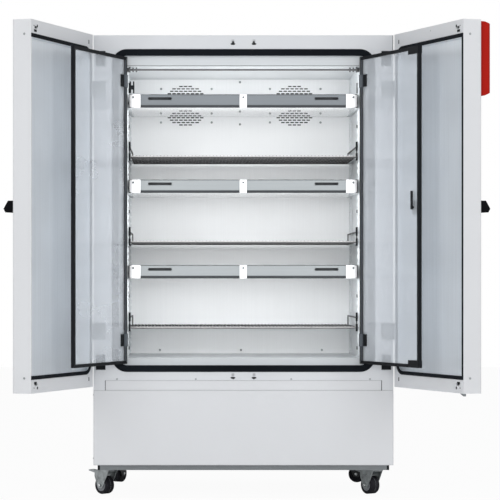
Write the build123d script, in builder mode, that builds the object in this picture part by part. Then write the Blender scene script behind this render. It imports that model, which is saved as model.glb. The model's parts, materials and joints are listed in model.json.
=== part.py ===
# Two-door climate chamber on castors, built as an assembly of separate pieces.
# Millimetres. +X is right, +Y runs from the open front to the back, +Z is up.
# The origin lies on the floor, under the middle of the space that the open chamber takes up.
from build123d import *
import math
import os

os.makedirs("parts", exist_ok=True)

# Cabinet outside
cabinet_width = 1250.0
cabinet_top = 1925.0
cabinet_depth = 809.0
casing_wall = 1.2
casing_flange = 40.0
frame_sheet = 2.0
panel_gap = 2.0

# Base, from the floor up
castor_height = 112.0
chassis_height = 21.0
base_panel_top = 446.0
sill_top = 487.0
sill_width = 1150.0
sill_flange = 15.0
machine_deck_z = 500.0
chassis_inset = 17.0
chassis_front_setback = 12.0
end_cap_thickness = 3.0
end_cap_length = 40.0

# Chamber inside
chamber_width = 973.0
chamber_floor_z = 578.0
chamber_height = 1219.0
chamber_depth = 605.0
liner_wall = 1.2

# Front opening: the rebate that takes the glass doors, and its gasket
rebate_width = 1048.0
rebate_floor_z = 546.0
rebate_height = 1297.0
rebate_depth = 30.0
gasket_width = 28.0
gasket_lap = 4.0
gasket_height = 2.6
gasket_corner = 62.0

# Outer doors
door_gap = 6.0
door_thickness = 79.0
door_bottom_z = 461.0
door_height = 1463.0
door_split = 8.0
door_skin = 1.2
door_open_deg = 110.4
door_pin_out = 7.7
door_pin_front = 15.5
door_dish = 14.0
door_seal_width = 15.0
door_seal_height = 3.0
door_seal_hinge_gap = 45.0
door_seal_free_inset = 1.0
door_seal_free_width = 9.0
door_seal_corner = 60.0
door_seal_bottom_z = 515.0
door_seal_outer_height = 1354.0
door_edge_radius = 5.0

# Outer door hinges
hinge_heights = (690.0, 1700.0)
hinge_leaf_height = 68.0
hinge_leaf_width = 40.0
hinge_leaf_inset = 10.0
hinge_leaf_thickness = 2.6
hinge_pin_r = 4.0
hinge_knuckle_r = 7.0
hinge_running_gap = 0.05
hinge_axial_gap = 0.5
hinge_web = 10.0
door_knuckle_height = 23.0
door_leaf_thickness = 2.5
door_leaf_depth = 45.0

# Glass doors
glass_door_split = 4.0
glass_door_side_gap = 7.0
glass_door_bottom_z = 556.0
glass_door_height = 1278.0
glass_door_thickness = 14.5
glass_door_setback = 4.5
glass_thickness = 5.0
glass_rail_width = 13.0
glass_rail_bite = 4.0
glass_open_deg = 112.5
glass_pin_inset = 11.0
glass_clamp_heights = (655.0, 1733.0)
glass_clamp_height = 54.0
glass_clamp_width = 29.0
glass_clamp_wall = 2.0
glass_pin_r = 2.5
glass_knuckle_r = 3.8
glass_arm_height = 6.0
glass_pin_length = 20.0
stop_pad_height = 62.0
stop_pad_width = 40.0
stop_pad_heights = (562.0, 1828.0)
stop_pad_thickness = 2.6

# Glass door latch
latch_z = 1194.0
latch_knob_width = 40.0
latch_knob_height = 57.0
latch_knob_depth = 9.0
latch_shaft_r = 4.0
latch_knob_corner = 5.0
latch_inset = 30.0
latch_tongue_width = 16.0
latch_tongue_sheet = 3.0
latch_tongue_gap = 2.5
latch_tongue_reach = 14.0

# Outer door handles and their latch hooks
handle_bottom_z = 1170.0
handle_widest_z = 1184.5
handle_top_z = 1216.0
handle_bottom_reach = 36.0
handle_reach = 44.0
handle_top_reach = 25.0
handle_width = 60.0
handle_x = 45.0
handle_z = 1194.0
handle_pin_r = 4.0
handle_edge_radius = 2.0
handle_pin_length = 30.0
handle_cam_r = 12.0
handle_cam_depth = 5.0
hook_r = 2.5
hook_rod_r = 4.0
hook_gap = 2.5
hook_height = 6.0
hook_front_gap = 3.0
hook_slot_width = 26.0
hook_slot_height = 10.0
hook_guide_height = 6.0
striker_x = 43.0
striker_heights = (496.5, 1895.0)
striker_r = 3.5
striker_base_r = 5.0
striker_reach = 5.0

# Controller housing on the right door
controller_bottom_z = 1628.0
controller_height = 291.0
controller_width = 210.0
controller_reach = 50.0
controller_inset = 12.0
controller_wall = 2.5
controller_corner = 18.0
controller_slope_depth = 30.0
controller_slope_drop = 10.0
controller_slope_rise = 13.0
screen_rise = 190.0
screen_width = 120.0
screen_height = 78.0
screen_thickness = 3.0

# Rear air panel and fans
air_panel_sheet = 1.5
air_gap = 66.0
fan_x = 242.0
fan_z = 1680.0
fan_field_width = 172.0
fan_slot_length = 15.5
fan_slot_height = 5.0
fan_slot_pitch_x = 20.5
fan_slot_pitch_z = 10.7
fan_rows = 17
fan_columns = 9
fan_top_row_half = 44.0
fan_corner_slope = 2.0
fan_plate_width = 238.0
fan_plate_height = 220.0
fan_plate_sheet = 1.2
fan_rotor_r = 75.0
fan_rotor_depth = 24.0
fan_hub_r = 22.0
fan_shaft_r = 4.0
fan_blades = 7
fan_blade_sheet = 4.0
fan_blade_lap = 2.0
fan_motor_r = 36.0
rotor_clearance = 6.0

# Shelves and their ladders
shelf_width = 956.0
shelf_depth = 527.0
shelf_front_setback = 45.0
shelf_heights = (710.0, 1068.0, 1425.0)
shelf_rim = 7.0
shelf_wire_r = 1.5
shelf_wire_pitch = 14.7
shelf_cross_bars = 3
shelf_rail_bar = 5.0
shelf_rail_rise = 40.0
ladder_width = 24.0
ladder_depth = 6.0
ladder_pitch = 27.5
ladder_slot_height = 9.0
ladder_slot_depth = 3.0
ladder_setbacks = (75.0, 520.0)
ladder_foot = 12.0
runner_overhang = 30.0
runner_thickness = 1.6
runner_width = 10.0
rail_rod_r = 3.5
rail_rod_z = 1785.0
rail_rod_setback = 48.0
rail_boss_r = 9.0
rail_boss_length = 14.0

# Light cassettes
cassette_width = 954.0
cassette_depth = 527.0
cassette_height = 56.0
cassette_setback = 33.0
cassette_bottoms = (911.5, 1269.0, 1625.5)
cassette_sheet = 1.5
bracket_width = 47.0
bracket_sheet = 1.5
centre_bracket_width = 30.0
grip_slot_width = 101.0
grip_slot_height = 13.0
grip_slot_x = 348.5
grip_slot_drop = 18.0
lamp_r = 13.0
lamp_count = 6
lamp_clearance = 3.0
lamp_margin = 45.0
lamp_holder = 14.0
lamp_cover = 2.5

# Castors
castor_x = 560.0
castor_setbacks = (132.0, 700.0)
castor_plate_size = 70.0
castor_plate_sheet = 4.0
castor_plate_gap = 0.6
castor_stem_r = 8.0
castor_stem_length = 9.0
castor_trail = 33.0
wheel_r = 37.5
wheel_width = 46.0
wheel_axle_r = 5.0
wheel_bore_gap = 0.06
hub_r = 26.0
fork_sheet = 3.0
fork_side_gap = 1.5
fork_width = 36.0
fork_ear_r = 12.0
crown_sheet = 5.0
crown_r = 26.0
wheel_shoulder = 6.0
hub_recess = 3.0
brake_width = 34.0
brake_pivot_x = 54.0
brake_pivot_z = 86.0
brake_pin_r = 3.0
pedal_back = 8.0
pedal_rise = 9.0
pedal_drop = 4.0
pedal_bend = 12.0
pedal_sheet = 5.0
pedal_tip_x = 112.0
pedal_tip_z = 95.0
castor_trail_deg = ((137.0, 126.0), (60.0, 160.0))

# Machine compartment
grille_slot_width = 100.0
grille_slot_height = 8.0
grille_pitch_x = 130.0
grille_pitch_z = 24.0
grille_columns = 6
grille_rows = 10
compressor_r = 75.0
compressor_height = 190.0
compressor_dome = 30.0
compressor_foot = 12.0
compressor_foot_width = 165.0
compressor_foot_depth = 105.0
compressor_x = -300.0
compressor_setback = 520.0
condenser_x = 60.0
condenser_rear_gap = 30.0
condenser_width = 360.0
condenser_height = 240.0
condenser_depth = 60.0
condenser_fins = 24
fin_thickness = 1.0
coil_rows = 5
coil_tube = 9.0
coil_fins = 24
coil_width = 560.0
coil_height = 300.0
coil_depth = 50.0
coil_z = 1250.0
electronics_x = 330.0
electronics_setback = 260.0
electronics_width = 330.0
electronics_height = 220.0
electronics_depth = 170.0

# Access port through the left wall
port_z = 1250.0
port_setback = 330.0
port_bore_r = 15.0
port_wall = 2.5
port_collar_r = 26.0
port_collar_length = 12.0

# The clear gap between two pieces that don't touch
seat_gap = 0.3

# Places worked out from the sizes above
half_width = cabinet_width / 2
swing_sin = math.sin(math.radians(door_open_deg))
swing_cos = math.cos(math.radians(door_open_deg))
door_arm = half_width + door_pin_out - door_split / 2
door_reach = door_pin_front + swing_sin * door_arm - swing_cos * (door_pin_front - door_gap)
front_y = (door_reach - cabinet_depth) / 2
rear_y = front_y + cabinet_depth
chassis_bottom_z = castor_height
chassis_top_z = castor_height + chassis_height
chamber_top_z = chamber_floor_z + chamber_height
rebate_top_z = rebate_floor_z + rebate_height
half_rebate = rebate_width / 2
half_chamber = chamber_width / 2
chamber_back_y = front_y + rebate_depth + chamber_depth + air_gap
air_panel_y = front_y + rebate_depth + chamber_depth
glass_pin_x = half_rebate - glass_door_side_gap - glass_pin_inset
shelf_front_y = front_y + shelf_front_setback
cassette_front_y = front_y + cassette_setback


def out(distance):
    """A vertical plane that faces the viewer, a distance in front of the cabinet's front."""
    return Plane.XZ.offset(distance - front_y)


def span(side, near, far):
    """The (low, high) span of X between two distances from the middle, on one side."""
    return (min(side * near, side * far), max(side * near, side * far))


def around(middle, size):
    """The (low, high) span of a size about its middle."""
    return (middle - size / 2, middle + size / 2)


def block(x, y, z, mode=Mode.ADD):
    """A block between three (low, high) spans."""
    middle = ((x[0] + x[1]) / 2, (y[0] + y[1]) / 2, (z[0] + z[1]) / 2)
    with Locations(middle):
        Box(x[1] - x[0], y[1] - y[0], z[1] - z[0], mode=mode)


def rod(start, direction, radius, length, mode=Mode.ADD):
    """A round rod from a start point along a direction."""
    with Locations(Plane(origin=start, z_dir=direction)):
        Cylinder(radius, length, align=(Align.CENTER, Align.CENTER, Align.MIN), mode=mode)


def save(piece, name):
    """Label a finished piece and write it."""
    piece.label = name
    export_step(piece, f"parts/{name}.step")


def swing(piece, pin, degrees):
    """A finished piece turned about a vertical pin."""
    at_pin = Pos(pin[0], pin[1], 0)
    return at_pin * Rot(0, 0, degrees) * at_pin.inverse() * piece


# Cabinet casing and frame
with BuildPart() as outer_casing:
    block((-half_width, half_width), (front_y + frame_sheet, rear_y), (chassis_top_z, cabinet_top))
    block(
        (-half_width + casing_wall, half_width - casing_wall),
        (front_y, rear_y + 1),
        (chassis_top_z - 1, cabinet_top - casing_wall),
        mode=Mode.SUBTRACT,
    )
    for side in (-1, 1):
        block(
            span(side, half_width - casing_wall - casing_flange, half_width - casing_wall),
            (front_y + frame_sheet, rear_y - casing_wall),
            (chassis_top_z, chassis_top_z + casing_wall),
        )
    rod(
        (-half_width - 1, front_y + port_setback, port_z), (1, 0, 0), port_bore_r + port_wall + seat_gap,
        casing_wall + 2, mode=Mode.SUBTRACT,
    )
save(outer_casing.part, "outer_casing")

grille_z = (chassis_top_z + machine_deck_z) / 2
with BuildPart() as rear_panel:
    block(
        (-half_width + casing_wall, half_width - casing_wall),
        (rear_y - casing_wall, rear_y),
        (chassis_top_z, cabinet_top - casing_wall),
    )
    with Locations((0, rear_y, grille_z)):
        with GridLocations(grille_pitch_x, 1, grille_columns, 1):
            for row in range(grille_rows):
                with Locations((0, 0, (row - (grille_rows - 1) / 2) * grille_pitch_z)):
                    Box(grille_slot_width, 4 * casing_wall, grille_slot_height, mode=Mode.SUBTRACT)
save(rear_panel.part, "rear_panel")

with BuildPart() as front_frame:
    with BuildSketch(out(-frame_sheet)):
        with Locations((0, (base_panel_top + cabinet_top) / 2)):
            Rectangle(cabinet_width, cabinet_top - base_panel_top)
        with Locations((0, (base_panel_top + sill_top) / 2)):
            Rectangle(sill_width + 2 * panel_gap, sill_top - base_panel_top, mode=Mode.SUBTRACT)
        with Locations((0, (rebate_floor_z + rebate_top_z) / 2)):
            Rectangle(rebate_width, rebate_height, mode=Mode.SUBTRACT)
    extrude(amount=frame_sheet)
    with BuildSketch(out(-rebate_depth)):
        with Locations((0, (rebate_floor_z + rebate_top_z) / 2)):
            Rectangle(rebate_width + 2 * frame_sheet, rebate_height + 2 * frame_sheet)
            Rectangle(rebate_width, rebate_height, mode=Mode.SUBTRACT)
    extrude(amount=rebate_depth)
save(front_frame.part, "front_frame")

foam_back_y = rear_y - casing_wall
with BuildPart() as insulation_foam:
    block(
        (-half_width + casing_wall, half_width - casing_wall),
        (front_y + frame_sheet, foam_back_y),
        (machine_deck_z, cabinet_top - casing_wall),
    )
    block(
        (-half_chamber - liner_wall, half_chamber + liner_wall),
        (front_y, chamber_back_y + liner_wall),
        (chamber_floor_z - liner_wall, chamber_top_z + liner_wall),
        mode=Mode.SUBTRACT,
    )
    block(
        (-half_rebate - frame_sheet, half_rebate + frame_sheet),
        (front_y, front_y + rebate_depth + liner_wall),
        (rebate_floor_z - frame_sheet, rebate_top_z + frame_sheet),
        mode=Mode.SUBTRACT,
    )
    rod(
        (-half_width - 1, front_y + port_setback, port_z), (1, 0, 0), port_bore_r + port_wall + seat_gap,
        half_width, mode=Mode.SUBTRACT,
    )
save(insulation_foam.part, "insulation_foam")

# Chamber liner: an open tank with a flange that the glass doors close on
with BuildPart() as chamber_liner:
    block(
        (-half_chamber - liner_wall, half_chamber + liner_wall),
        (front_y + rebate_depth, chamber_back_y + liner_wall),
        (chamber_floor_z - liner_wall, chamber_top_z + liner_wall),
    )
    with BuildSketch(out(-rebate_depth - liner_wall)):
        with Locations((0, (rebate_floor_z + rebate_top_z) / 2)):
            Rectangle(rebate_width, rebate_height)
    extrude(amount=liner_wall)
    block(
        (-half_chamber, half_chamber),
        (front_y, chamber_back_y),
        (chamber_floor_z, chamber_top_z),
        mode=Mode.SUBTRACT,
    )
    rod(
        (-half_width - 1, front_y + port_setback, port_z), (1, 0, 0), port_bore_r + port_wall + seat_gap,
        half_width, mode=Mode.SUBTRACT,
    )
save(chamber_liner.part, "chamber_liner")

gasket_outer_width = rebate_width - 2 * gasket_lap + 2 * gasket_width
gasket_outer_height = rebate_height - 2 * gasket_lap + 2 * gasket_width
with BuildPart() as chamber_gasket:
    with BuildSketch(out(seat_gap)):
        with Locations((0, (rebate_floor_z + rebate_top_z) / 2)):
            RectangleRounded(gasket_outer_width, gasket_outer_height, gasket_corner)
            RectangleRounded(
                gasket_outer_width - 2 * gasket_width,
                gasket_outer_height - 2 * gasket_width,
                gasket_corner - gasket_width,
                mode=Mode.SUBTRACT,
            )
    extrude(amount=gasket_height - seat_gap)
save(chamber_gasket.part, "chamber_gasket")

# Base: front panel, sill strip and chassis
with BuildPart() as base_front_panel:
    block(
        (-half_width, half_width),
        (front_y, front_y + frame_sheet),
        (chassis_top_z, base_panel_top - panel_gap),
    )
save(base_front_panel.part, "base_front_panel")

with BuildPart() as sill_strip:
    block(
        (-sill_width / 2 - sill_flange, sill_width / 2 + sill_flange),
        (front_y + frame_sheet, front_y + 2 * frame_sheet),
        (base_panel_top, sill_top - panel_gap),
    )
save(sill_strip.part, "sill_strip")

chassis_half = half_width - chassis_inset - end_cap_thickness
chassis_span_y = (front_y + chassis_front_setback, rear_y - chassis_front_setback)
deck_top_z = chassis_bottom_z + castor_plate_sheet
castor_places = [
    (side * castor_x, front_y + castor_setbacks[row], castor_trail_deg[row][column])
    for row in range(2)
    for column, side in enumerate((-1, 1))
]
with BuildPart() as base_chassis:
    block((-chassis_half, chassis_half), chassis_span_y, (chassis_bottom_z, chassis_top_z))
    block(
        (-chassis_half + frame_sheet, chassis_half - frame_sheet),
        (chassis_span_y[0] + frame_sheet, chassis_span_y[1] - frame_sheet),
        (deck_top_z, chassis_top_z + 1),
        mode=Mode.SUBTRACT,
    )
    for x, y, trail in castor_places:
        block(
            around(x, castor_plate_size),
            around(y, castor_plate_size),
            (chassis_bottom_z - castor_plate_sheet, chassis_bottom_z),
        )
        rod((x, y, chassis_bottom_z), (0, 0, -1), castor_stem_r, castor_plate_sheet + castor_stem_length)
save(base_chassis.part, "base_chassis")

with BuildPart() as chassis_end_caps:
    for side in (-1, 1):
        block(
            span(side, chassis_half, chassis_half + end_cap_thickness),
            (chassis_span_y[0], chassis_span_y[0] + end_cap_length),
            (chassis_bottom_z, chassis_top_z),
        )
save(chassis_end_caps.part, "chassis_end_caps")

# Machine compartment
with BuildPart() as compressor:
    with Locations((compressor_x, front_y + compressor_setback, deck_top_z)):
        Cylinder(compressor_r, compressor_height, align=(Align.CENTER, Align.CENTER, Align.MIN))
    fillet(compressor.edges().filter_by(GeomType.CIRCLE).sort_by(Axis.Z)[-1], compressor_dome)
    block(
        around(compressor_x, compressor_foot_width),
        around(front_y + compressor_setback, compressor_foot_depth),
        (deck_top_z, deck_top_z + compressor_foot),
    )
save(compressor.part, "compressor")

condenser_y = rear_y - casing_wall - condenser_rear_gap - condenser_depth / 2
fin_pitch = (condenser_width - fin_thickness) / (condenser_fins - 1)
with BuildPart() as condenser:
    with Locations((condenser_x, condenser_y, deck_top_z + condenser_height / 2)):
        with GridLocations(fin_pitch, 1, condenser_fins, 1):
            Box(fin_thickness, condenser_depth, condenser_height)
        with GridLocations(1, condenser_depth / 2, 1, 2):
            for row in range(coil_rows):
                with Locations((0, 0, (row - (coil_rows - 1) / 2) * condenser_height / coil_rows)):
                    Box(condenser_width, coil_tube, coil_tube)
save(condenser.part, "condenser")

with BuildPart() as electronics_box:
    block(
        around(electronics_x, electronics_width),
        around(front_y + electronics_setback, electronics_depth),
        (deck_top_z, deck_top_z + electronics_height),
    )
    fillet(electronics_box.edges().filter_by(Axis.Z), panel_gap)
save(electronics_box.part, "electronics_box")

# Air panel with its fan grilles, and what stands behind it
top_rise = (fan_rows - 1) / 2 * fan_slot_pitch_z
with BuildPart() as air_panel:
    block(
        (-half_chamber + seat_gap, half_chamber - seat_gap),
        (air_panel_y, air_panel_y + air_panel_sheet),
        (chamber_floor_z + seat_gap, chamber_top_z - seat_gap),
    )
    for side in (-1, 1):
        block(
            around(side * fan_x, fan_plate_width),
            (air_panel_y - fan_plate_sheet, air_panel_y),
            around(fan_z, fan_plate_height),
        )
    with BuildSketch(Plane.XZ.offset(-air_panel_y - air_panel_sheet - 1)):
        for side in (-1, 1):
            for row in range(fan_rows):
                rise = (row - (fan_rows - 1) / 2) * fan_slot_pitch_z
                stagger = fan_slot_pitch_x / 2 if row % 2 else 0
                row_half = fan_top_row_half + fan_corner_slope * (top_rise - abs(rise))
                for column in range(fan_columns):
                    shift = (column - (fan_columns - 1) / 2) * fan_slot_pitch_x + stagger
                    if abs(shift) + fan_slot_length / 2 <= min(row_half, fan_field_width / 2):
                        with Locations((side * fan_x + shift, fan_z + rise)):
                            Rectangle(fan_slot_length, fan_slot_height)
    extrude(amount=air_panel_sheet + fan_plate_sheet + 2, mode=Mode.SUBTRACT)
save(air_panel.part, "air_panel")

rotor_front_y = air_panel_y + air_panel_sheet + rotor_clearance
motor_front_y = rotor_front_y + fan_rotor_depth + rotor_clearance / 2
with BuildPart() as fan_motors:
    for side in (-1, 1):
        rod(
            (side * fan_x, motor_front_y, fan_z), (0, 1, 0), fan_motor_r, chamber_back_y - motor_front_y,
        )
        rod(
            (side * fan_x, rotor_front_y, fan_z), (0, 1, 0), fan_shaft_r, motor_front_y - rotor_front_y,
        )
save(fan_motors.part, "fan_motors")

for side, name in ((-1, "left_fan_rotor"), (1, "right_fan_rotor")):
    with BuildPart() as fan_rotor:
        with BuildSketch(Plane.XZ.offset(-rotor_front_y - fan_rotor_depth)):
            with Locations((side * fan_x, fan_z)):
                Circle(fan_hub_r)
                with PolarLocations((fan_hub_r + fan_rotor_r) / 2, fan_blades):
                    Rectangle(fan_rotor_r - fan_hub_r + fan_blade_lap, fan_blade_sheet)
                Circle(fan_shaft_r + hinge_running_gap, mode=Mode.SUBTRACT)
        extrude(amount=fan_rotor_depth)
    save(fan_rotor.part, name)

coil_pitch = (coil_width - fin_thickness) / (coil_fins - 1)
with BuildPart() as evaporator_coil:
    with Locations((0, chamber_back_y - coil_depth / 2, coil_z)):
        with GridLocations(coil_pitch, 1, coil_fins, 1):
            Box(fin_thickness, coil_depth, coil_height)
        for row in range(coil_rows):
            with Locations((0, 0, (row - (coil_rows - 1) / 2) * coil_height / coil_rows)):
                Box(coil_width, coil_tube, coil_tube)
save(evaporator_coil.part, "evaporator_coil")

with BuildPart() as ceiling_rail:
    rail_start = (-half_chamber, front_y + rail_rod_setback, rail_rod_z)
    rod(rail_start, (1, 0, 0), rail_rod_r, chamber_width)
    rod(rail_start, (1, 0, 0), rail_boss_r, rail_boss_length)
    rod((half_chamber, rail_start[1], rail_rod_z), (-1, 0, 0), rail_boss_r, rail_boss_length)
save(ceiling_rail.part, "ceiling_rail")

# Ladders on the side walls, with a runner under each shelf and each cassette
shelf_bottom_drop = shelf_rim + shelf_wire_r
runner_tops = [z - shelf_bottom_drop - seat_gap for z in shelf_heights]
runner_tops += [z - seat_gap for z in cassette_bottoms]
runner_y = (
    front_y + ladder_setbacks[0] - runner_overhang,
    front_y + ladder_setbacks[1] + runner_overhang,
)
ladder_face = half_chamber - ladder_depth
ladder_bottom_z = chamber_floor_z + ladder_foot
ladder_steps = int((chamber_height - 2 * ladder_foot) / ladder_pitch)
with BuildPart() as shelf_ladders:
    for side in (-1, 1):
        for setback in ladder_setbacks:
            block(
                span(side, ladder_face, half_chamber),
                around(front_y + setback, ladder_width),
                (ladder_bottom_z, chamber_top_z - ladder_foot),
            )
            for step in range(ladder_steps):
                block(
                    span(side, ladder_face - 1, ladder_face + ladder_slot_depth),
                    around(front_y + setback, ladder_width + 2),
                    around(ladder_bottom_z + (step + 0.5) * ladder_pitch, ladder_slot_height),
                    mode=Mode.SUBTRACT,
                )
        for top in runner_tops:
            block(
                span(side, ladder_face - runner_width, half_chamber - ladder_slot_depth),
                runner_y,
                (top - runner_thickness, top),
            )
save(shelf_ladders.part, "shelf_ladders")

# Wire shelves
shelf_half = shelf_width / 2
wire_count = int((shelf_width - 2 * shelf_rim) / shelf_wire_pitch)
for number, shelf_z in enumerate(shelf_heights, start=1):
    rim_top = shelf_z - shelf_wire_r
    rim_z = (rim_top - shelf_rim, rim_top)
    shelf_back_y = shelf_front_y + shelf_depth
    with BuildPart() as shelf:
        for side in (-1, 1):
            block(span(side, shelf_half - shelf_rim, shelf_half), (shelf_front_y, shelf_back_y), rim_z)
        for bar in range(shelf_cross_bars + 2):
            bar_y = shelf_front_y + shelf_rim / 2 + bar * (shelf_depth - shelf_rim) / (shelf_cross_bars + 1)
            block((-shelf_half, shelf_half), around(bar_y, shelf_rim), rim_z)
        with BuildSketch(Plane.XZ.offset(-shelf_back_y)):
            with Locations((0, rim_top)):
                with GridLocations(shelf_wire_pitch, 1, wire_count, 1):
                    Circle(shelf_wire_r)
        extrude(amount=shelf_depth)
    with BuildPart() as shelf_rails:
        for side in (-1, 1):
            rail_x = span(side, shelf_half - shelf_rail_bar, shelf_half)
            rail_top = shelf_z + shelf_rail_rise
            block(rail_x, (shelf_front_y, shelf_front_y + shelf_rail_bar), (rim_top, rail_top))
            block(rail_x, (shelf_back_y - shelf_rail_bar, shelf_back_y), (rim_top, rail_top))
            block(rail_x, (shelf_front_y, shelf_back_y), (rail_top - shelf_rail_bar, rail_top))
    save(Compound(shelf.part.solids() + shelf_rails.part.solids()), f"shelf_{number}")

# Light cassettes: a tray with lamps across it, a front in bands that leave two hand slots free,
# and a cover pane that closes it below the lamps
cassette_half = cassette_width / 2
end_wall_x = cassette_half - cassette_sheet
lamp_length = 2 * (end_wall_x - lamp_holder)
cover_half = end_wall_x - seat_gap
whole_front_x = (-cassette_half, cassette_half)
slot_near = grip_slot_x - grip_slot_width / 2
slot_far = grip_slot_x + grip_slot_width / 2
beside_slots_x = (
    span(-1, slot_far, cassette_half),
    (-slot_near, slot_near),
    span(1, slot_far, cassette_half),
)
brackets_x = (
    span(-1, cassette_half - bracket_width, cassette_half),
    around(0, centre_bracket_width),
    span(1, cassette_half - bracket_width, cassette_half),
)
for number, bottom in enumerate(cassette_bottoms, start=1):
    top = bottom + cassette_height
    tray_y = (cassette_front_y + bracket_sheet, cassette_front_y + cassette_depth)
    inside_y = tray_y[0] + cassette_sheet
    lamp_z = bottom + lamp_clearance + lamp_r
    lamp_pitch = (cassette_depth - 2 * lamp_margin) / (lamp_count - 1)
    back_y = tray_y[1] - cassette_sheet
    lid_z = top - cassette_sheet
    tray_boxes = [
        (whole_front_x, (inside_y, back_y), (lid_z, top)),
        (whole_front_x, (back_y, tray_y[1]), (bottom, top)),
    ]
    for side in (-1, 1):
        wall_x = span(side, end_wall_x, cassette_half)
        holder_x = span(side, end_wall_x - lamp_holder, end_wall_x)
        tray_boxes.append((wall_x, (inside_y, back_y), (bottom, lid_z)))
        tray_boxes.append((holder_x, (inside_y, back_y), (bottom + lamp_clearance, lid_z)))
    slot_z = around(top - grip_slot_drop, grip_slot_height)
    bands = [(whole_front_x, (bottom, slot_z[0])), (whole_front_x, (slot_z[1], top))]
    bands += [(band_x, slot_z) for band_x in beside_slots_x]
    cassette_solids = []
    for tray_box in tray_boxes:
        with BuildPart() as tray_piece:
            block(*tray_box)
        cassette_solids += tray_piece.part.solids()
    for band_x, band_z in bands:
        with BuildPart() as front_band:
            block(band_x, (tray_y[0], inside_y), band_z)
            for bracket_x in brackets_x:
                if band_x[0] <= bracket_x[0] and bracket_x[1] <= band_x[1]:
                    block(bracket_x, (cassette_front_y, tray_y[0]), band_z)
        cassette_solids += front_band.part.solids()
    save(Compound(cassette_solids), f"light_cassette_{number}")
    with BuildPart() as lamps:
        for lamp in range(lamp_count):
            lamp_y = cassette_front_y + lamp_margin + lamp * lamp_pitch
            rod((-lamp_length / 2, lamp_y, lamp_z), (1, 0, 0), lamp_r, lamp_length)
        block(
            (-cover_half, cover_half),
            (inside_y + seat_gap, back_y - seat_gap),
            (bottom, bottom + lamp_cover),
        )
    save(lamps.part, f"lamp_tubes_{number}")

# Strikers, hinge leaves and pads on the front frame
with BuildPart() as latch_strikers:
    for side in (-1, 1):
        for z in striker_heights:
            rod((side * striker_x, front_y, z), (0, -1, 0), striker_base_r, striker_reach / 2)
            rod((side * striker_x, front_y, z), (0, -1, 0), striker_r, striker_reach)
save(latch_strikers.part, "latch_strikers")

leaf_end = half_width + door_pin_out
pin_y = front_y - door_pin_front
lug_height = (hinge_leaf_height - door_knuckle_height) / 2 - hinge_axial_gap
with BuildPart() as door_hinge_leaves:
    for side in (-1, 1):
        for z in hinge_heights:
            block(
                span(side, half_width - hinge_leaf_inset - hinge_leaf_width, leaf_end + hinge_web / 2),
                (front_y - hinge_leaf_thickness, front_y),
                around(z, hinge_leaf_height),
            )
            for end in (-1, 1):
                lug_z = z + end * (hinge_leaf_height - lug_height) / 2
                block(
                    span(side, leaf_end - hinge_web / 2, leaf_end + hinge_web / 2),
                    (pin_y, front_y - hinge_leaf_thickness),
                    around(lug_z, lug_height),
                )
                rod(
                    (side * leaf_end, pin_y, lug_z - lug_height / 2), (0, 0, 1), hinge_knuckle_r, lug_height,
                )
            rod(
                (side * leaf_end, pin_y, z - hinge_leaf_height / 2), (0, 0, 1), hinge_pin_r,
                hinge_leaf_height,
            )
save(door_hinge_leaves.part, "door_hinge_leaves")

arm_z_gap = glass_clamp_height / 2 + hinge_axial_gap
with BuildPart() as glass_door_pivots:
    for side in (-1, 1):
        for z in glass_clamp_heights:
            for end in (-1, 1):
                arm_z = z + end * (arm_z_gap + glass_arm_height / 2)
                block(
                    span(side, glass_pin_x, half_rebate),
                    (front_y + seat_gap, front_y + glass_knuckle_r),
                    around(arm_z, glass_arm_height),
                )
                rod(
                    (side * glass_pin_x, front_y, arm_z - glass_arm_height / 2), (0, 0, 1), glass_knuckle_r,
                    glass_arm_height,
                )
                rod(
                    (side * glass_pin_x, front_y, z + end * arm_z_gap), (0, 0, -end), glass_pin_r,
                    glass_pin_length,
                )
        for z in stop_pad_heights:
            block(
                span(side, half_width - hinge_leaf_inset - stop_pad_width, half_width - hinge_leaf_inset),
                (front_y - stop_pad_thickness, front_y),
                around(z, stop_pad_height),
            )
save(glass_door_pivots.part, "glass_door_pivots")

with BuildPart() as access_port:
    rod(
        (-half_width - port_collar_length, front_y + port_setback, port_z), (1, 0, 0),
        port_bore_r + port_wall, half_width + port_collar_length - half_chamber,
    )
    rod(
        (-half_width - port_collar_length, front_y + port_setback, port_z), (1, 0, 0), port_collar_r,
        port_collar_length,
    )
    rod(
        (-half_width - port_collar_length - 1, front_y + port_setback, port_z), (1, 0, 0), port_bore_r,
        half_width, mode=Mode.SUBTRACT,
    )
save(access_port.part, "access_port")

# Outer doors, each built closed and then swung open about its hinge pin
door_free = door_split / 2
door_z = (door_bottom_z, door_bottom_z + door_height)
door_inner_y = front_y - door_gap
door_outer_y = door_inner_y - door_thickness
seal_outer_rise = door_seal_outer_height / 2
seal_inner_rise = seal_outer_rise - door_seal_width
seal_middle_z = door_seal_bottom_z + seal_outer_rise
seal_inner_half = gasket_outer_width / 2 + door_seal_hinge_gap
seal_outer_half = seal_inner_half + door_seal_width
seal_free = door_free + door_seal_free_inset
window_x = (seal_free + door_seal_free_width + seat_gap, seal_inner_half - seat_gap)
window_z = (seal_middle_z - seal_inner_rise + seat_gap, seal_middle_z + seal_inner_rise - seat_gap)
hook_x = striker_x + striker_r + hook_r + hook_gap
hook_rod_y = door_inner_y - door_dish - liner_wall - hook_rod_r - hook_gap
door_pins = {side: (side * leaf_end, pin_y) for side in (-1, 1)}


def opened(piece, side):
    """An outer door piece at the stored, open pose."""
    return swing(piece, door_pins[side], side * door_open_deg)


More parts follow.
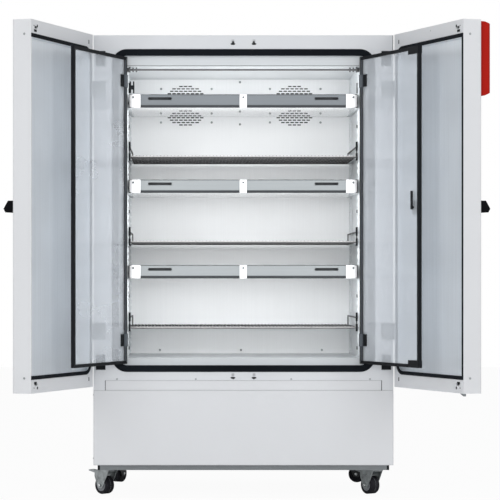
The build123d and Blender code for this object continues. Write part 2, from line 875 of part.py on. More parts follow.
for side, name in ((-1, "left"), (1, "right")):
    with BuildPart() as door_shell:
        block(span(side, door_free, half_width), (door_outer_y, door_inner_y), door_z)
        fillet(door_shell.edges().filter_by(Axis.Z).group_by(Axis.Y)[0], door_edge_radius)
        block(
            span(side, door_free + door_skin, half_width - door_skin),
            (door_outer_y + door_skin, door_inner_y - door_skin),
            (door_z[0] + door_skin, door_z[1] - door_skin),
            mode=Mode.SUBTRACT,
        )
        block(
            span(side, window_x[0], window_x[1]),
            (door_inner_y - door_skin - 1, door_inner_y + 1),
            window_z,
            mode=Mode.SUBTRACT,
        )
        for z in striker_heights:
            block(
                around(side * hook_x, hook_slot_width),
                (door_inner_y - door_skin - 1, door_inner_y + 1),
                around(z, hook_slot_height),
                mode=Mode.SUBTRACT,
            )
            inward = 1 if z < seal_middle_z else -1
            guide_z = z + inward * (hook_slot_height / 2 + hook_guide_height / 2)
            block(
                around(side * hook_x, 3 * hook_rod_r),
                (hook_rod_y - 2 * hook_rod_r, door_inner_y - door_skin),
                around(guide_z, hook_guide_height),
            )
            rod(
                (side * hook_x, hook_rod_y, guide_z - hook_guide_height), (0, 0, 1),
                hook_rod_r + hinge_running_gap, 2 * hook_guide_height, mode=Mode.SUBTRACT,
            )
        rod(
            (side * handle_x, door_outer_y - 1, handle_z), (0, 1, 0), handle_pin_r + hinge_running_gap,
            door_skin + 2, mode=Mode.SUBTRACT,
        )
        for z in hinge_heights:
            plate_x = span(side, half_width, half_width + door_leaf_thickness)
            clear_y = pin_y - hinge_knuckle_r - hinge_axial_gap
            block(plate_x, (clear_y - door_leaf_depth, clear_y), around(z, hinge_leaf_height))
            block(plate_x, (clear_y, pin_y), around(z, door_knuckle_height))
            rod(
                (side * leaf_end, pin_y, z - door_knuckle_height / 2), (0, 0, 1), hinge_knuckle_r,
                door_knuckle_height,
            )
            rod(
                (side * leaf_end, pin_y, z - door_knuckle_height), (0, 0, 1),
                hinge_pin_r + hinge_running_gap, 2 * door_knuckle_height, mode=Mode.SUBTRACT,
            )
    save(opened(door_shell.part, side), f"{name}_door_shell")

    with BuildPart() as door_liner:
        dish_floor_y = door_inner_y - door_dish
        block(span(side, window_x[0], window_x[1]), (dish_floor_y - liner_wall, door_inner_y), window_z)
        block(
            span(side, window_x[0] + liner_wall, window_x[1] - liner_wall),
            (dish_floor_y, door_inner_y + 1),
            (window_z[0] + liner_wall, window_z[1] - liner_wall),
            mode=Mode.SUBTRACT,
        )
    save(opened(door_liner.part, side), f"{name}_door_liner")

    with BuildPart() as door_gasket:
        inner_free = seal_free + door_seal_free_width if side > 0 else seal_free - 1
        outlines = ((0, seal_free, Mode.ADD), (door_seal_width, inner_free, Mode.SUBTRACT))
        for inset, free, sketch_mode in outlines:
            with BuildSketch(out(door_gap - door_seal_height)) as seal_outline:
                seal_x = (free, seal_outer_half - inset)
                with Locations((side * (seal_x[0] + seal_x[1]) / 2, seal_middle_z)):
                    Rectangle(seal_x[1] - seal_x[0], 2 * (seal_outer_rise - inset))
                hinge_corners = seal_outline.vertices().group_by(Axis.X)[-1 if side > 0 else 0]
                fillet(hinge_corners, door_seal_corner - inset)
            extrude(amount=door_seal_height, mode=sketch_mode)
    save(opened(door_gasket.part, side), f"{name}_door_gasket")

    with BuildPart() as door_handle:
        grip_back_y = door_outer_y - seat_gap
        with BuildSketch(Plane.YZ.offset(side * handle_x - handle_width / 2)):
            with BuildLine():
                Polyline(
                    (grip_back_y, handle_bottom_z),
                    (grip_back_y - handle_bottom_reach, handle_bottom_z),
                    (grip_back_y - handle_reach, handle_widest_z),
                    (grip_back_y - handle_top_reach, handle_top_z),
                    (grip_back_y, handle_top_z),
                    close=True,
                )
            make_face()
        extrude(amount=handle_width)
        fillet(door_handle.edges().filter_by(Axis.X).group_by(Axis.Y)[0], handle_edge_radius)
        rod(
            (side * handle_x, grip_back_y, handle_z), (0, 1, 0), handle_pin_r, seat_gap + handle_pin_length,
        )
        rod(
            (side * handle_x, door_outer_y + door_skin + seat_gap, handle_z), (0, 1, 0), handle_cam_r,
            handle_cam_depth,
        )
    save(opened(door_handle.part, side), f"{name}_door_handle")

    with BuildPart() as latch_rod:
        rod(
            (side * hook_x, hook_rod_y, striker_heights[0] - hook_height), (0, 0, 1), hook_rod_r,
            striker_heights[1] - striker_heights[0] + 2 * hook_height,
        )
        for z in striker_heights:
            block(
                around(side * hook_x, 2 * hook_r),
                (hook_rod_y, front_y - hook_front_gap),
                around(z, hook_height),
            )
    save(opened(latch_rod.part, side), f"{name}_latch_rod")

# Controller on the right door
controller_x = (door_free + controller_inset, door_free + controller_inset + controller_width)
controller_z = (controller_bottom_z, controller_bottom_z + controller_height)
controller_front_y = door_outer_y - controller_reach
screen_middle = ((controller_x[0] + controller_x[1]) / 2, controller_bottom_z + screen_rise)
with BuildPart() as controller_housing:
    with BuildSketch(Plane.YZ.offset(controller_x[0])):
        with BuildLine():
            Polyline(
                (door_outer_y, controller_z[0]),
                (controller_front_y + controller_slope_depth, controller_z[0]),
                (controller_front_y, controller_z[0] + controller_slope_rise),
                (controller_front_y, controller_z[1] - controller_slope_drop),
                (controller_front_y + controller_slope_depth, controller_z[1]),
                (door_outer_y, controller_z[1]),
                close=True,
            )
        make_face()
    extrude(amount=controller_width)
    fillet(controller_housing.edges().filter_by(Axis.Z).group_by(Axis.Y)[0], controller_corner)
    block(
        (controller_x[0] + controller_wall, controller_x[1] - controller_wall),
        (controller_front_y + controller_corner, door_outer_y + 1),
        (
            controller_z[0] + controller_slope_rise + controller_wall,
            controller_z[1] - controller_slope_drop - controller_wall,
        ),
        mode=Mode.SUBTRACT,
    )
    block(
        around(screen_middle[0], screen_width),
        (controller_front_y - 1, controller_front_y + controller_corner + 1),
        around(screen_middle[1], screen_height),
        mode=Mode.SUBTRACT,
    )
save(opened(controller_housing.part, 1), "controller_housing")

with BuildPart() as controller_screen:
    block(
        around(screen_middle[0], screen_width),
        (controller_front_y, controller_front_y + screen_thickness),
        around(screen_middle[1], screen_height),
    )
save(opened(controller_screen.part, 1), "controller_screen")

# Glass doors, built closed in the rebate and then swung open
pane_middle_y = front_y + glass_door_setback + glass_door_thickness / 2
glass_x = (glass_door_split / 2, half_rebate - glass_door_side_gap)
glass_z = (glass_door_bottom_z, glass_door_bottom_z + glass_door_height)
rail_y = (front_y + glass_door_setback, front_y + glass_door_setback + glass_door_thickness)
pane_inset = glass_rail_width - glass_rail_bite
pane_x = (glass_x[0] + pane_inset, glass_x[1] - pane_inset)
pane_z = (glass_z[0] + pane_inset, glass_z[1] - pane_inset)
latch_x = glass_x[0] + latch_inset + latch_knob_width / 2


def glass_opened(piece, side):
    """A glass door piece at the stored, open pose."""
    return swing(piece, (side * glass_pin_x, front_y), side * glass_open_deg)


for side, name in ((-1, "left"), (1, "right")):
    with BuildPart() as glass_pane:
        block(span(side, pane_x[0], pane_x[1]), around(pane_middle_y, glass_thickness), pane_z)
        if side > 0:
            rod(
                (latch_x, front_y, latch_z), (0, 1, 0), latch_shaft_r + hinge_running_gap,
                rebate_depth, mode=Mode.SUBTRACT,
            )
    save(glass_opened(glass_pane.part, side), f"{name}_glass_pane")

    with BuildPart() as glass_frame:
        for z in glass_clamp_heights:
            block(
                span(side, glass_x[1] - glass_clamp_width + glass_clamp_wall, glass_x[1] + glass_clamp_wall),
                (rail_y[0] - glass_clamp_wall, rail_y[1] + glass_clamp_wall),
                around(z, glass_clamp_height),
            )
        block(span(side, glass_x[0], glass_x[1]), rail_y, glass_z, mode=Mode.SUBTRACT)
        block(span(side, glass_x[0], glass_x[1]), rail_y, glass_z)
        block(
            span(side, glass_x[0] + glass_rail_width, glass_x[1] - glass_rail_width),
            rail_y,
            (glass_z[0] + glass_rail_width, glass_z[1] - glass_rail_width),
            mode=Mode.SUBTRACT,
        )
        block(
            span(side, pane_x[0], pane_x[1]), around(pane_middle_y, glass_thickness), pane_z,
            mode=Mode.SUBTRACT,
        )
        for z in glass_clamp_heights:
            rod(
                (side * glass_pin_x, front_y, z - glass_clamp_height / 2), (0, 0, 1), glass_knuckle_r,
                glass_clamp_height,
            )
            rod(
                (side * glass_pin_x, front_y, z - glass_clamp_height / 2 - 1), (0, 0, 1),
                glass_pin_r + hinge_running_gap, glass_clamp_height + 2, mode=Mode.SUBTRACT,
            )
    save(glass_opened(glass_frame.part, side), f"{name}_glass_frame")

knob_back_y = pane_middle_y - glass_thickness / 2 - seat_gap
tongue_front_y = rail_y[1] + latch_tongue_gap
with BuildPart() as glass_latch:
    block(
        around(latch_x, latch_knob_width),
        (knob_back_y - latch_knob_depth, knob_back_y),
        around(latch_z, latch_knob_height),
    )
    fillet(glass_latch.edges().filter_by(Axis.Y), latch_knob_corner)
    rod((latch_x, knob_back_y, latch_z), (0, 1, 0), latch_shaft_r, tongue_front_y - knob_back_y)
    block(
        around(latch_x, latch_tongue_width),
        (tongue_front_y, tongue_front_y + latch_tongue_sheet),
        (latch_z - latch_tongue_width / 2, latch_z + latch_x + latch_tongue_reach),
    )
save(glass_opened(glass_latch.part, 1), "glass_door_latch")

# Castors, each built about its swivel axis with the wheel trailing along +X
crown_top_z = chassis_bottom_z - castor_plate_sheet - castor_plate_gap
crown_z = (crown_top_z - crown_sheet, crown_top_z)
leg_inner = wheel_width / 2 + fork_side_gap
leg_outer = leg_inner + fork_sheet
leg_outline = [
    (-fork_width / 2, crown_top_z),
    (fork_width, crown_top_z),
    (brake_pivot_x + fork_ear_r, brake_pivot_z + fork_ear_r),
    (brake_pivot_x + fork_ear_r, brake_pivot_z - fork_ear_r),
    (castor_trail + fork_ear_r, wheel_r - fork_ear_r),
    (castor_trail - fork_ear_r, wheel_r - fork_ear_r),
    (-fork_width / 2, crown_z[0]),
]
pedal_outline = [
    (brake_pivot_x - pedal_back, brake_pivot_z + pedal_rise),
    (brake_pivot_x - pedal_back, brake_pivot_z - pedal_drop),
    (brake_pivot_x, brake_pivot_z - pedal_drop - pedal_sheet / 2),
    (brake_pivot_x + pedal_bend, brake_pivot_z),
    (pedal_tip_x, pedal_tip_z),
    (pedal_tip_x, pedal_tip_z + pedal_sheet),
    (brake_pivot_x + pedal_bend, brake_pivot_z + pedal_rise),
]
corner_names = (("front_left", "front_right"), ("rear_left", "rear_right"))
flat_names = [name for row in corner_names for name in row]
for (x, y, trail), name in zip(castor_places, flat_names):
    at_castor = Pos(x, y, 0) * Rot(0, 0, trail)
    with BuildPart() as fork:
        block((-fork_width / 2, fork_width), (-leg_outer, leg_outer), crown_z)
        with Locations((0, 0, crown_z[0])):
            Cylinder(crown_r, crown_sheet, align=(Align.CENTER, Align.CENTER, Align.MIN))
        for leg_y in (-leg_inner, leg_outer):
            with BuildSketch(Plane.XZ.offset(-leg_y)):
                with BuildLine():
                    Polyline(*leg_outline, close=True)
                make_face()
            extrude(amount=fork_sheet)
        rod((castor_trail, -leg_outer, wheel_r), (0, 1, 0), wheel_axle_r, 2 * leg_outer)
        rod(
            (0, 0, crown_z[0] - 1), (0, 0, 1), castor_stem_r + hinge_running_gap, crown_sheet + 2,
            mode=Mode.SUBTRACT,
        )
        rod(
            (brake_pivot_x, -leg_outer - 1, brake_pivot_z), (0, 1, 0), brake_pin_r + hinge_running_gap,
            2 * leg_outer + 2, mode=Mode.SUBTRACT,
        )
    save(at_castor * fork.part, f"castor_fork_{name}")

    with BuildPart() as wheel:
        rod((castor_trail, -wheel_width / 2, wheel_r), (0, 1, 0), wheel_r, wheel_width)
        fillet(wheel.edges().filter_by(GeomType.CIRCLE), wheel_shoulder)
        for face_side in (-1, 1):
            rod(
                (castor_trail, face_side * wheel_width / 2, wheel_r), (0, -face_side, 0), hub_r,
                hub_recess, mode=Mode.SUBTRACT,
            )
        rod(
            (castor_trail, -wheel_width, wheel_r), (0, 1, 0), wheel_axle_r + wheel_bore_gap,
            2 * wheel_width, mode=Mode.SUBTRACT,
        )
    save(at_castor * wheel.part, f"castor_wheel_{name}")

    if name in corner_names[0]:
        with BuildPart() as brake:
            with BuildSketch(Plane.XZ.offset(-brake_width / 2)):
                with BuildLine():
                    Polyline(*pedal_outline, close=True)
                make_face()
            extrude(amount=brake_width)
            rod((brake_pivot_x, -leg_outer, brake_pivot_z), (0, 1, 0), brake_pin_r, 2 * leg_outer)
        save(at_castor * brake.part, f"castor_brake_{name}")
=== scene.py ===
import json
import math

import bmesh
import bpy
from mathutils import Matrix, Vector


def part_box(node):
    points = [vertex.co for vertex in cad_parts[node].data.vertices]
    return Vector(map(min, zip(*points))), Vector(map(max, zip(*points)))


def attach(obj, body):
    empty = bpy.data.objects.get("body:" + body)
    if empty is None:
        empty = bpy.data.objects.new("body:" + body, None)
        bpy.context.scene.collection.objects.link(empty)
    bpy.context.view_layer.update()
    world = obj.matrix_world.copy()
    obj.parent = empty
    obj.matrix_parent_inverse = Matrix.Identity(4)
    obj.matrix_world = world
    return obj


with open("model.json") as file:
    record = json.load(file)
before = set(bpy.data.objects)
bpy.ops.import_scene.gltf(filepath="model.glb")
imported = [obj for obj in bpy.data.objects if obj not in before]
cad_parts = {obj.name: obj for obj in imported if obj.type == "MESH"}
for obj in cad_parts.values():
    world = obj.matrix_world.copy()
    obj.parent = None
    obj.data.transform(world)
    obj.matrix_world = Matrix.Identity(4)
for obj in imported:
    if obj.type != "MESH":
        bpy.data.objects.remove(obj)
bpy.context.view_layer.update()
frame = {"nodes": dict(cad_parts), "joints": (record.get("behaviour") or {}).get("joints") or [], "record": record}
nodes = frame["nodes"]
joints = {joint["name"]: joint for joint in frame["joints"]}

# Planes, edges, heights and counts that the pieces are placed from, in metres and degrees
FRAME_LOW, FRAME_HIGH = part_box("front_frame")
FRONT_Y = FRAME_LOW.y
HALF_WIDTH = FRAME_HIGH.x
CABINET_TOP = FRAME_HIGH.z
PANEL_LOW, PANEL_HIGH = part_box("base_front_panel")
SILL_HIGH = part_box("sill_strip")[1]
AIR_LOW, AIR_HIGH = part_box("air_panel")
REAR_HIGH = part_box("rear_panel")[1]
DOOR_LOW, DOOR_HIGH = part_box("left_door_shell")
GLASS_LOW, GLASS_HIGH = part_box("left_glass_frame")
CHASSIS_LOW, CHASSIS_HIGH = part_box("base_chassis")
DOOR_GAP = 0.006
DOOR_THICKNESS = 0.079
DOOR_FREE_X = 0.004
DOOR_INNER_Y = FRONT_Y - DOOR_GAP
DOOR_OUTER_Y = DOOR_INNER_Y - DOOR_THICKNESS
GLASS_FRONT_Y = FRONT_Y + 0.0045
GLASS_BACK_Y = GLASS_FRONT_Y + 0.0145
GLASS_FREE_X = 0.002
PANE_BACK_Y = GLASS_FRONT_Y + 0.00975
RAIL_INNER_X = 0.504
CLAMP_INNER_X = 0.490
GLASS_PIN_SIDE_X = 0.517
RAIL_WIDTH = 0.013
FAN_X = 0.242
FAN_Z = 1.680
SHELF_TOPS = (0.710, 1.068, 1.425)
WIRE_COUNT = 64
WIRE_PITCH = 0.0147
LOUVRE_COUNT = 8
LOUVRE_PITCH = 0.0080
HANDLE_X = 0.045
HANDLE_Z = 1.1765
HANDLE_SWEEP_Z = (1.1200, 1.2330)
CLAMP_HEIGHTS = (0.655, 1.733)
STRIKER_HEIGHTS = (0.4975, 1.8885)
STRIKER_MARK_X = 0.0440
SEAM_HALF_WIDTH = 0.0006
EDGE_INSET = 0.011
LIP_INNER_X = 0.0155
LIP_END_INSET = 0.0475
GRIP_X = 0.3485
GRIP_DROP = 0.018
GRIP_HALF_WIDTH = 0.0508
GRIP_HALF_HEIGHT = 0.0068
RACE_Z = 0.1000
KEY_COLUMNS = 4
KEY_ROWS = 3
REAR_SCREW_PITCH = 0.2875
SHARP_ANGLE = 35
BEVEL_ANGLE = 40
SIDES = ((-1, "left"), (1, "right"))
CORNERS = ("front_left", "front_right", "rear_left", "rear_right")


# Forms


class Piece:
    """One mesh that is gathered from simple forms, then given its material and its body."""

    def __init__(self, name, place=None):
        self.name = name
        self.place = place or Matrix.Identity(4)
        self.mesh = bmesh.new()

    def block(self, x, y, z):
        """A block between three spans, each given in any order."""
        x, y, z = sorted(x), sorted(y), sorted(z)
        size = Vector((x[1] - x[0], y[1] - y[0], z[1] - z[0]))
        middle = Vector((sum(x), sum(y), sum(z))) / 2
        matrix = Matrix.Translation(middle) @ Matrix.Diagonal((*size, 1))
        bmesh.ops.create_cube(self.mesh, size=1, matrix=matrix)

    def rod(self, start, end, radius, tip=None, segments=28):
        """A round rod or cone between two points."""
        start, end = Vector(start), Vector(end)
        along = end - start
        turn = along.to_track_quat("Z", "Y").to_matrix().to_4x4()
        matrix = Matrix.Translation((start + end) / 2) @ turn
        bmesh.ops.create_cone(
            self.mesh, cap_ends=True, segments=segments, radius1=radius,
            radius2=radius if tip is None else tip, depth=along.length, matrix=matrix)

    def prism(self, outline, depth):
        """A closed outline of points, pushed along a depth vector."""
        bottom = [self.mesh.verts.new(point) for point in outline]
        face = self.mesh.faces.new(bottom)
        made = bmesh.ops.extrude_face_region(self.mesh, geom=[face])
        moved = [item for item in made["geom"] if isinstance(item, bmesh.types.BMVert)]
        bmesh.ops.translate(self.mesh, verts=moved, vec=Vector(depth))

    def ring(self, centre, axis, radius, thickness, segments=40, sides=12):
        """A round wire bent to a full ring."""
        turn = Vector(axis).to_track_quat("Z", "Y").to_matrix().to_4x4()
        matrix = Matrix.Translation(centre) @ turn
        grid = []
        for step in range(segments):
            around = 2 * math.pi * step / segments
            row = []
            for side in range(sides):
                lift = 2 * math.pi * side / sides
                reach = radius + thickness * math.cos(lift)
                point = Vector((reach * math.cos(around), reach * math.sin(around),
                                thickness * math.sin(lift)))
                row.append(self.mesh.verts.new(matrix @ point))
            grid.append(row)
        for step in range(segments):
            for side in range(sides):
                self.mesh.faces.new((
                    grid[step][side], grid[(step + 1) % segments][side],
                    grid[(step + 1) % segments][(side + 1) % sides], grid[step][(side + 1) % sides]))

    def screw(self, point, out, radius=0.0045):
        """A pan-head screw, standing on a surface."""
        point, out = Vector(point), Vector(out).normalized()
        self.rod(point, point + out * radius * 0.35, radius, segments=20)
        self.rod(point + out * radius * 0.35, point + out * radius * 0.6, radius, radius * 0.55, 20)
        self.ring(point + out * radius * 0.12, out, radius * 1.02, radius * 0.12, 20, 6)

    def done(self, look, body, bevel=0.0):
        """Close the mesh, dress it and let it ride on its body."""
        bmesh.ops.transform(self.mesh, matrix=self.place, verts=self.mesh.verts)
        bmesh.ops.recalc_face_normals(self.mesh, faces=self.mesh.faces)
        data = bpy.data.meshes.new(self.name)
        self.mesh.to_mesh(data)
        self.mesh.free()
        data.materials.append(look)
        piece = bpy.data.objects.new(self.name, data)
        bpy.context.scene.collection.objects.link(piece)
        for polygon in data.polygons:
            polygon.use_smooth = True
        data.set_sharp_from_angle(angle=math.radians(SHARP_ANGLE))
        if bevel:
            rounding = piece.modifiers.new("rounding", "BEVEL")
            rounding.width = bevel
            rounding.segments = 2
            rounding.limit_method = "ANGLE"
            rounding.angle_limit = math.radians(BEVEL_ANGLE)
        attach(piece, body)


def span(side, near, far):
    """The span of X between two distances from the middle, on one side."""
    return (side * near, side * far)


def swung(joint_name):
    """The turn that takes a piece from its closed place to the stored, open pose."""
    joint = joints[joint_name]
    pin = Matrix.Translation(joint["pos_m"])
    turn = Matrix.Rotation(math.radians(-joint["range_deg"][0]), 4, Vector(joint["axis"]))
    return pin @ turn @ pin.inverted()


# Materials

def surface(name, colour, roughness, metallic=0.0, grain=(40, 40, 40), tint=0.04, bump=0.05,
            rough_spread=0.08, alpha=1.0, specular=0.5, wear_and_sheen=0.0, coat=0.0):
    """A procedural material: grained colour, uneven sheen and a fine bump, from object coordinates. With
    wear_and_sheen, convex edges are painted lighter, partly as rubbed wear and partly as painted edge highlights.
    """
    look = bpy.data.materials.new(name)
    look.use_nodes = True
    tree = look.node_tree
    shader = tree.nodes["Principled BSDF"]
    shader.inputs["Metallic"].default_value = metallic
    shader.inputs["Specular IOR Level"].default_value = specular
    shader.inputs["Alpha"].default_value = alpha
    shader.inputs["Coat Weight"].default_value = coat
    place = tree.nodes.new("ShaderNodeTexCoord")
    stretch = tree.nodes.new("ShaderNodeMapping")
    stretch.inputs["Scale"].default_value = grain
    noise = tree.nodes.new("ShaderNodeTexNoise")
    noise.inputs["Scale"].default_value = 1.0
    noise.inputs["Detail"].default_value = 4.0
    tree.links.new(place.outputs["Object"], stretch.inputs["Vector"])
    tree.links.new(stretch.outputs["Vector"], noise.inputs["Vector"])
    patches = tree.nodes.new("ShaderNodeTexNoise")
    patches.inputs["Scale"].default_value = 2.4
    patches.inputs["Detail"].default_value = 2.0
    tree.links.new(place.outputs["Object"], patches.inputs["Vector"])
    both = tree.nodes.new("ShaderNodeMath")
    both.operation = "ADD"
    tree.links.new(noise.outputs["Fac"], both.inputs[0])
    tree.links.new(patches.outputs["Fac"], both.inputs[1])
    mean = tree.nodes.new("ShaderNodeMath")
    mean.operation = "MULTIPLY"
    mean.inputs[1].default_value = 0.5
    tree.links.new(both.outputs["Value"], mean.inputs[0])
    ramp = tree.nodes.new("ShaderNodeValToRGB")
    ramp.color_ramp.elements[0].position = 0.38
    ramp.color_ramp.elements[1].position = 0.62
    ramp.color_ramp.elements[0].color = (*[max(0, c * (1 - tint)) for c in colour], 1)
    ramp.color_ramp.elements[1].color = (*[min(1, c * (1 + tint)) for c in colour], 1)
    tree.links.new(mean.outputs["Value"], ramp.inputs["Fac"])
    last = ramp.outputs["Color"]
    # Convex edges painted lighter: partly rubbed wear, partly painted edge highlights.
    if wear_and_sheen:
        edges = tree.nodes.new("ShaderNodeNewGeometry")
        range_node = tree.nodes.new("ShaderNodeMapRange")
        range_node.inputs["From Min"].default_value = 0.53
        range_node.inputs["From Max"].default_value = 0.62
        range_node.inputs["To Max"].default_value = wear_and_sheen
        tree.links.new(edges.outputs["Pointiness"], range_node.inputs["Value"])
        mix = tree.nodes.new("ShaderNodeMixRGB")
        mix.inputs["Color2"].default_value = (*[min(1, c * 1.6 + 0.05) for c in colour], 1)
        tree.links.new(range_node.outputs["Result"], mix.inputs["Fac"])
        tree.links.new(last, mix.inputs["Color1"])
        last = mix.outputs["Color"]
    tree.links.new(last, shader.inputs["Base Color"])
    sheen = tree.nodes.new("ShaderNodeMapRange")
    sheen.inputs["To Min"].default_value = max(0.02, roughness - rough_spread)
    sheen.inputs["To Max"].default_value = roughness + rough_spread
    tree.links.new(noise.outputs["Fac"], sheen.inputs["Value"])
    tree.links.new(sheen.outputs["Result"], shader.inputs["Roughness"])
    relief = tree.nodes.new("ShaderNodeBump")
    relief.inputs["Strength"].default_value = bump
    relief.inputs["Distance"].default_value = 0.0006
    tree.links.new(noise.outputs["Fac"], relief.inputs["Height"])
    tree.links.new(relief.outputs["Normal"], shader.inputs["Normal"])
    return look


WHITE = (0.735, 0.745, 0.765)
LOOKS = {
    "paint": surface("powder_coat_white", WHITE, 0.45, grain=(900, 900, 900), tint=0.015, bump=0.06,
                     specular=0.35),
    "frame_paint": surface("frame_coat_white", (0.72, 0.735, 0.76), 0.42, grain=(900, 900, 900),
                           tint=0.015, bump=0.06, specular=0.35),
    "chamber": surface("chamber_steel", (0.67, 0.70, 0.72), 0.4, 0.12, grain=(2, 2, 420),
                       tint=0.03, bump=0.05, rough_spread=0.06),
    # The back wall is a lighter copy of the chamber stainless: painted light and painted reflection of the white
    # surroundings. The chamber look is the shaded copy for the side walls, floor and ceiling.
    "air_wall": surface("air_wall_lit_steel", (0.91, 0.925, 0.935), 0.45, 0.05, grain=(420, 2, 2),
                        tint=0.025, bump=0.05, rough_spread=0.06, specular=0.4),
    "door_steel": surface("door_pan_steel", (0.76, 0.80, 0.84), 0.33, 0.3, grain=(260, 260, 1.5),
                          tint=0.06, bump=0.06, rough_spread=0.07),
    # Shelf and ceiling rail wire painted near black: painted shade of wire seen from below.
    "wire": surface("shaded_wire_steel", (0.075, 0.075, 0.076), 0.5, 0.15, grain=(60, 60, 60),
                    tint=0.1, bump=0.04, specular=0.1),
    # Shelf wires painted near black and drawn thick: the wires together with their painted cast shadows.
    "wire_dark": surface("shelf_wire_and_shadow", (0.035, 0.036, 0.038), 0.45, 0.3, grain=(60, 60, 60), tint=0.15,
                         bump=0.05, specular=0.2),
    # A lighter copy of the wire steel: painted highlight along the top of the shelf's front wire.
    "wire_top": surface("wire_crest_highlight", (0.26, 0.26, 0.26), 0.3, 0.3, grain=(60, 60, 60),
                        tint=0.06, bump=0.03),
    "cassette": surface("cassette_aluminium", (0.140, 0.151, 0.156), 0.42, 0.2, grain=(3, 3, 500),
                        tint=0.05, bump=0.06, specular=0.3),
    # A darker copy of the cassette aluminium: painted shade on the top cassette and its grip rims, and the darker
    # tone of every cassette's screw heads.
    "cassette_shaded_and_screws": surface("shaded_cassette_and_screw_aluminium", (0.080, 0.088, 0.096), 0.42, 0.2, grain=(3, 3, 500),
                             tint=0.05, bump=0.06, specular=0.3),
    "bracket": surface("bracket_white", (0.42, 0.425, 0.43), 0.4, grain=(700, 700, 700), tint=0.01,
                       bump=0.04),
    # Near-black on the cassette fronts: painted shade at the lower lip and along the top edge.
    "lip": surface("cassette_edge_shade", (0.017, 0.019, 0.021), 0.5, grain=(4, 200, 200), tint=0.1,
                   bump=0.05, specular=0.2),
    "tube": surface("lamp_cover_gloss", (0.86, 0.87, 0.88), 0.035, 0.35, grain=(30, 300, 300),
                    tint=0.01, bump=0.0, rough_spread=0.01, specular=0.9),
    "rubber": surface("gasket_rubber", (0.008, 0.010, 0.013), 0.75, grain=(400, 400, 400), tint=0.3,
                      bump=0.15, specular=0.08),
    "black": surface("moulded_black", (0.008, 0.009, 0.011), 0.6, grain=(600, 600, 600), tint=0.2,
                     bump=0.12, wear_and_sheen=0.05, specular=0.12),
    "grey": surface("moulded_grey", (0.2, 0.215, 0.225), 0.5, grain=(500, 500, 500), tint=0.08,
                    bump=0.12, wear_and_sheen=0.1, specular=0.3),
    "pale_grey": surface("pale_moulding", (0.42, 0.44, 0.455), 0.5, grain=(500, 500, 500), tint=0.05,
                         bump=0.1, specular=0.3),
    # Zinc on the castor forks: its strong light and dark mottling and lighter edges are partly its own tone,
    # partly painted highlights.
    "zinc": surface("zinc_plated_steel", (0.36, 0.385, 0.39), 0.3, 0.85, grain=(45, 45, 45), tint=0.45,
                    bump=0.12, wear_and_sheen=0.15),
    "hinge": surface("hinge_grey", (0.27, 0.285, 0.29), 0.45, 0.4, grain=(300, 300, 300), tint=0.07,
                     bump=0.08, wear_and_sheen=0.15),
    # Pale steel on the castor axle caps: painted highlight at the wheel hubs.
    "bright": surface("cap_painted_highlight", (0.82, 0.83, 0.84), 0.25, 0.6, grain=(80, 80, 80), tint=0.05,
                      bump=0.03),
    "extrusion": surface("chassis_extrusion", (0.22, 0.235, 0.245), 0.45, 0.3, grain=(2, 300, 300),
                         tint=0.05, bump=0.1, specular=0.3),
    "seal_grey": surface("glass_rail_grey", (0.125, 0.14, 0.16), 0.55, grain=(300, 300, 300), tint=0.08,
                         bump=0.06, specular=0.2),
    "rail_grey": surface("ceiling_rail_grey", (0.115, 0.118, 0.122), 0.45, 0.3, grain=(60, 60, 60), tint=0.1,
                         bump=0.05, specular=0.3),
    "jet": surface("handle_black", (0.004, 0.004, 0.005), 0.7, grain=(500, 500, 500), tint=0.3,
                   bump=0.1, specular=0.08),
    "tread": surface("castor_tread", (0.014, 0.014, 0.018), 0.6, grain=(300, 300, 300), tint=0.25,
                     bump=0.2, specular=0.2),
    "disc": surface("castor_disc_grey", (0.24, 0.25, 0.27), 0.4, 0.35, grain=(150, 150, 150),
                    tint=0.08, bump=0.06, wear_and_sheen=0.12),
    "glass": surface("pane_glass", (0.86, 0.905, 0.96), 0.05, 0.1, grain=(1, 1, 9), tint=0.03, bump=0.0,
                     rough_spread=0.02, alpha=0.34, specular=0.5),
    "red": surface("red_moulding", (0.43, 0.016, 0.010), 0.6, grain=(500, 500, 500), tint=0.05,
                   bump=0.08, specular=0.06),
    # A darker copy of the red moulding: painted shade along the housing's edges and in the louvre slots.
    "red_line": surface("red_edge_shade", (0.24, 0.010, 0.007), 0.6, grain=(500, 500, 500), tint=0.05,
                        bump=0.05, specular=0.06),
    "screen": surface("screen_dark", (0.012, 0.014, 0.018), 0.12, grain=(20, 20, 20), tint=0.1,
                      bump=0.0, coat=0.6),
    "key": surface("key_grey", (0.55, 0.565, 0.58), 0.45, grain=(400, 400, 400), tint=0.04, bump=0.06),
    "fins": surface("fin_aluminium", (0.45, 0.46, 0.47), 0.3, 0.9, grain=(500, 30, 30), tint=0.08,
                    bump=0.1),
    "machine": surface("machine_black", (0.03, 0.03, 0.032), 0.45, 0.3, grain=(200, 200, 200),
                       tint=0.2, bump=0.15, wear_and_sheen=0.2),
    "foam": surface("foam_yellow", (0.66, 0.56, 0.3), 0.9, grain=(300, 300, 300), tint=0.12, bump=0.5),
    "seam": surface("seam_shadow", (0.055, 0.058, 0.062), 0.6, grain=(200, 200, 200), tint=0.2,
                    bump=0.1, specular=0.1),
    "soft_seam": surface("soft_seam_shadow", (0.50, 0.51, 0.53), 0.6, grain=(200, 200, 200), tint=0.1,
                         bump=0.1, specular=0.1),
}

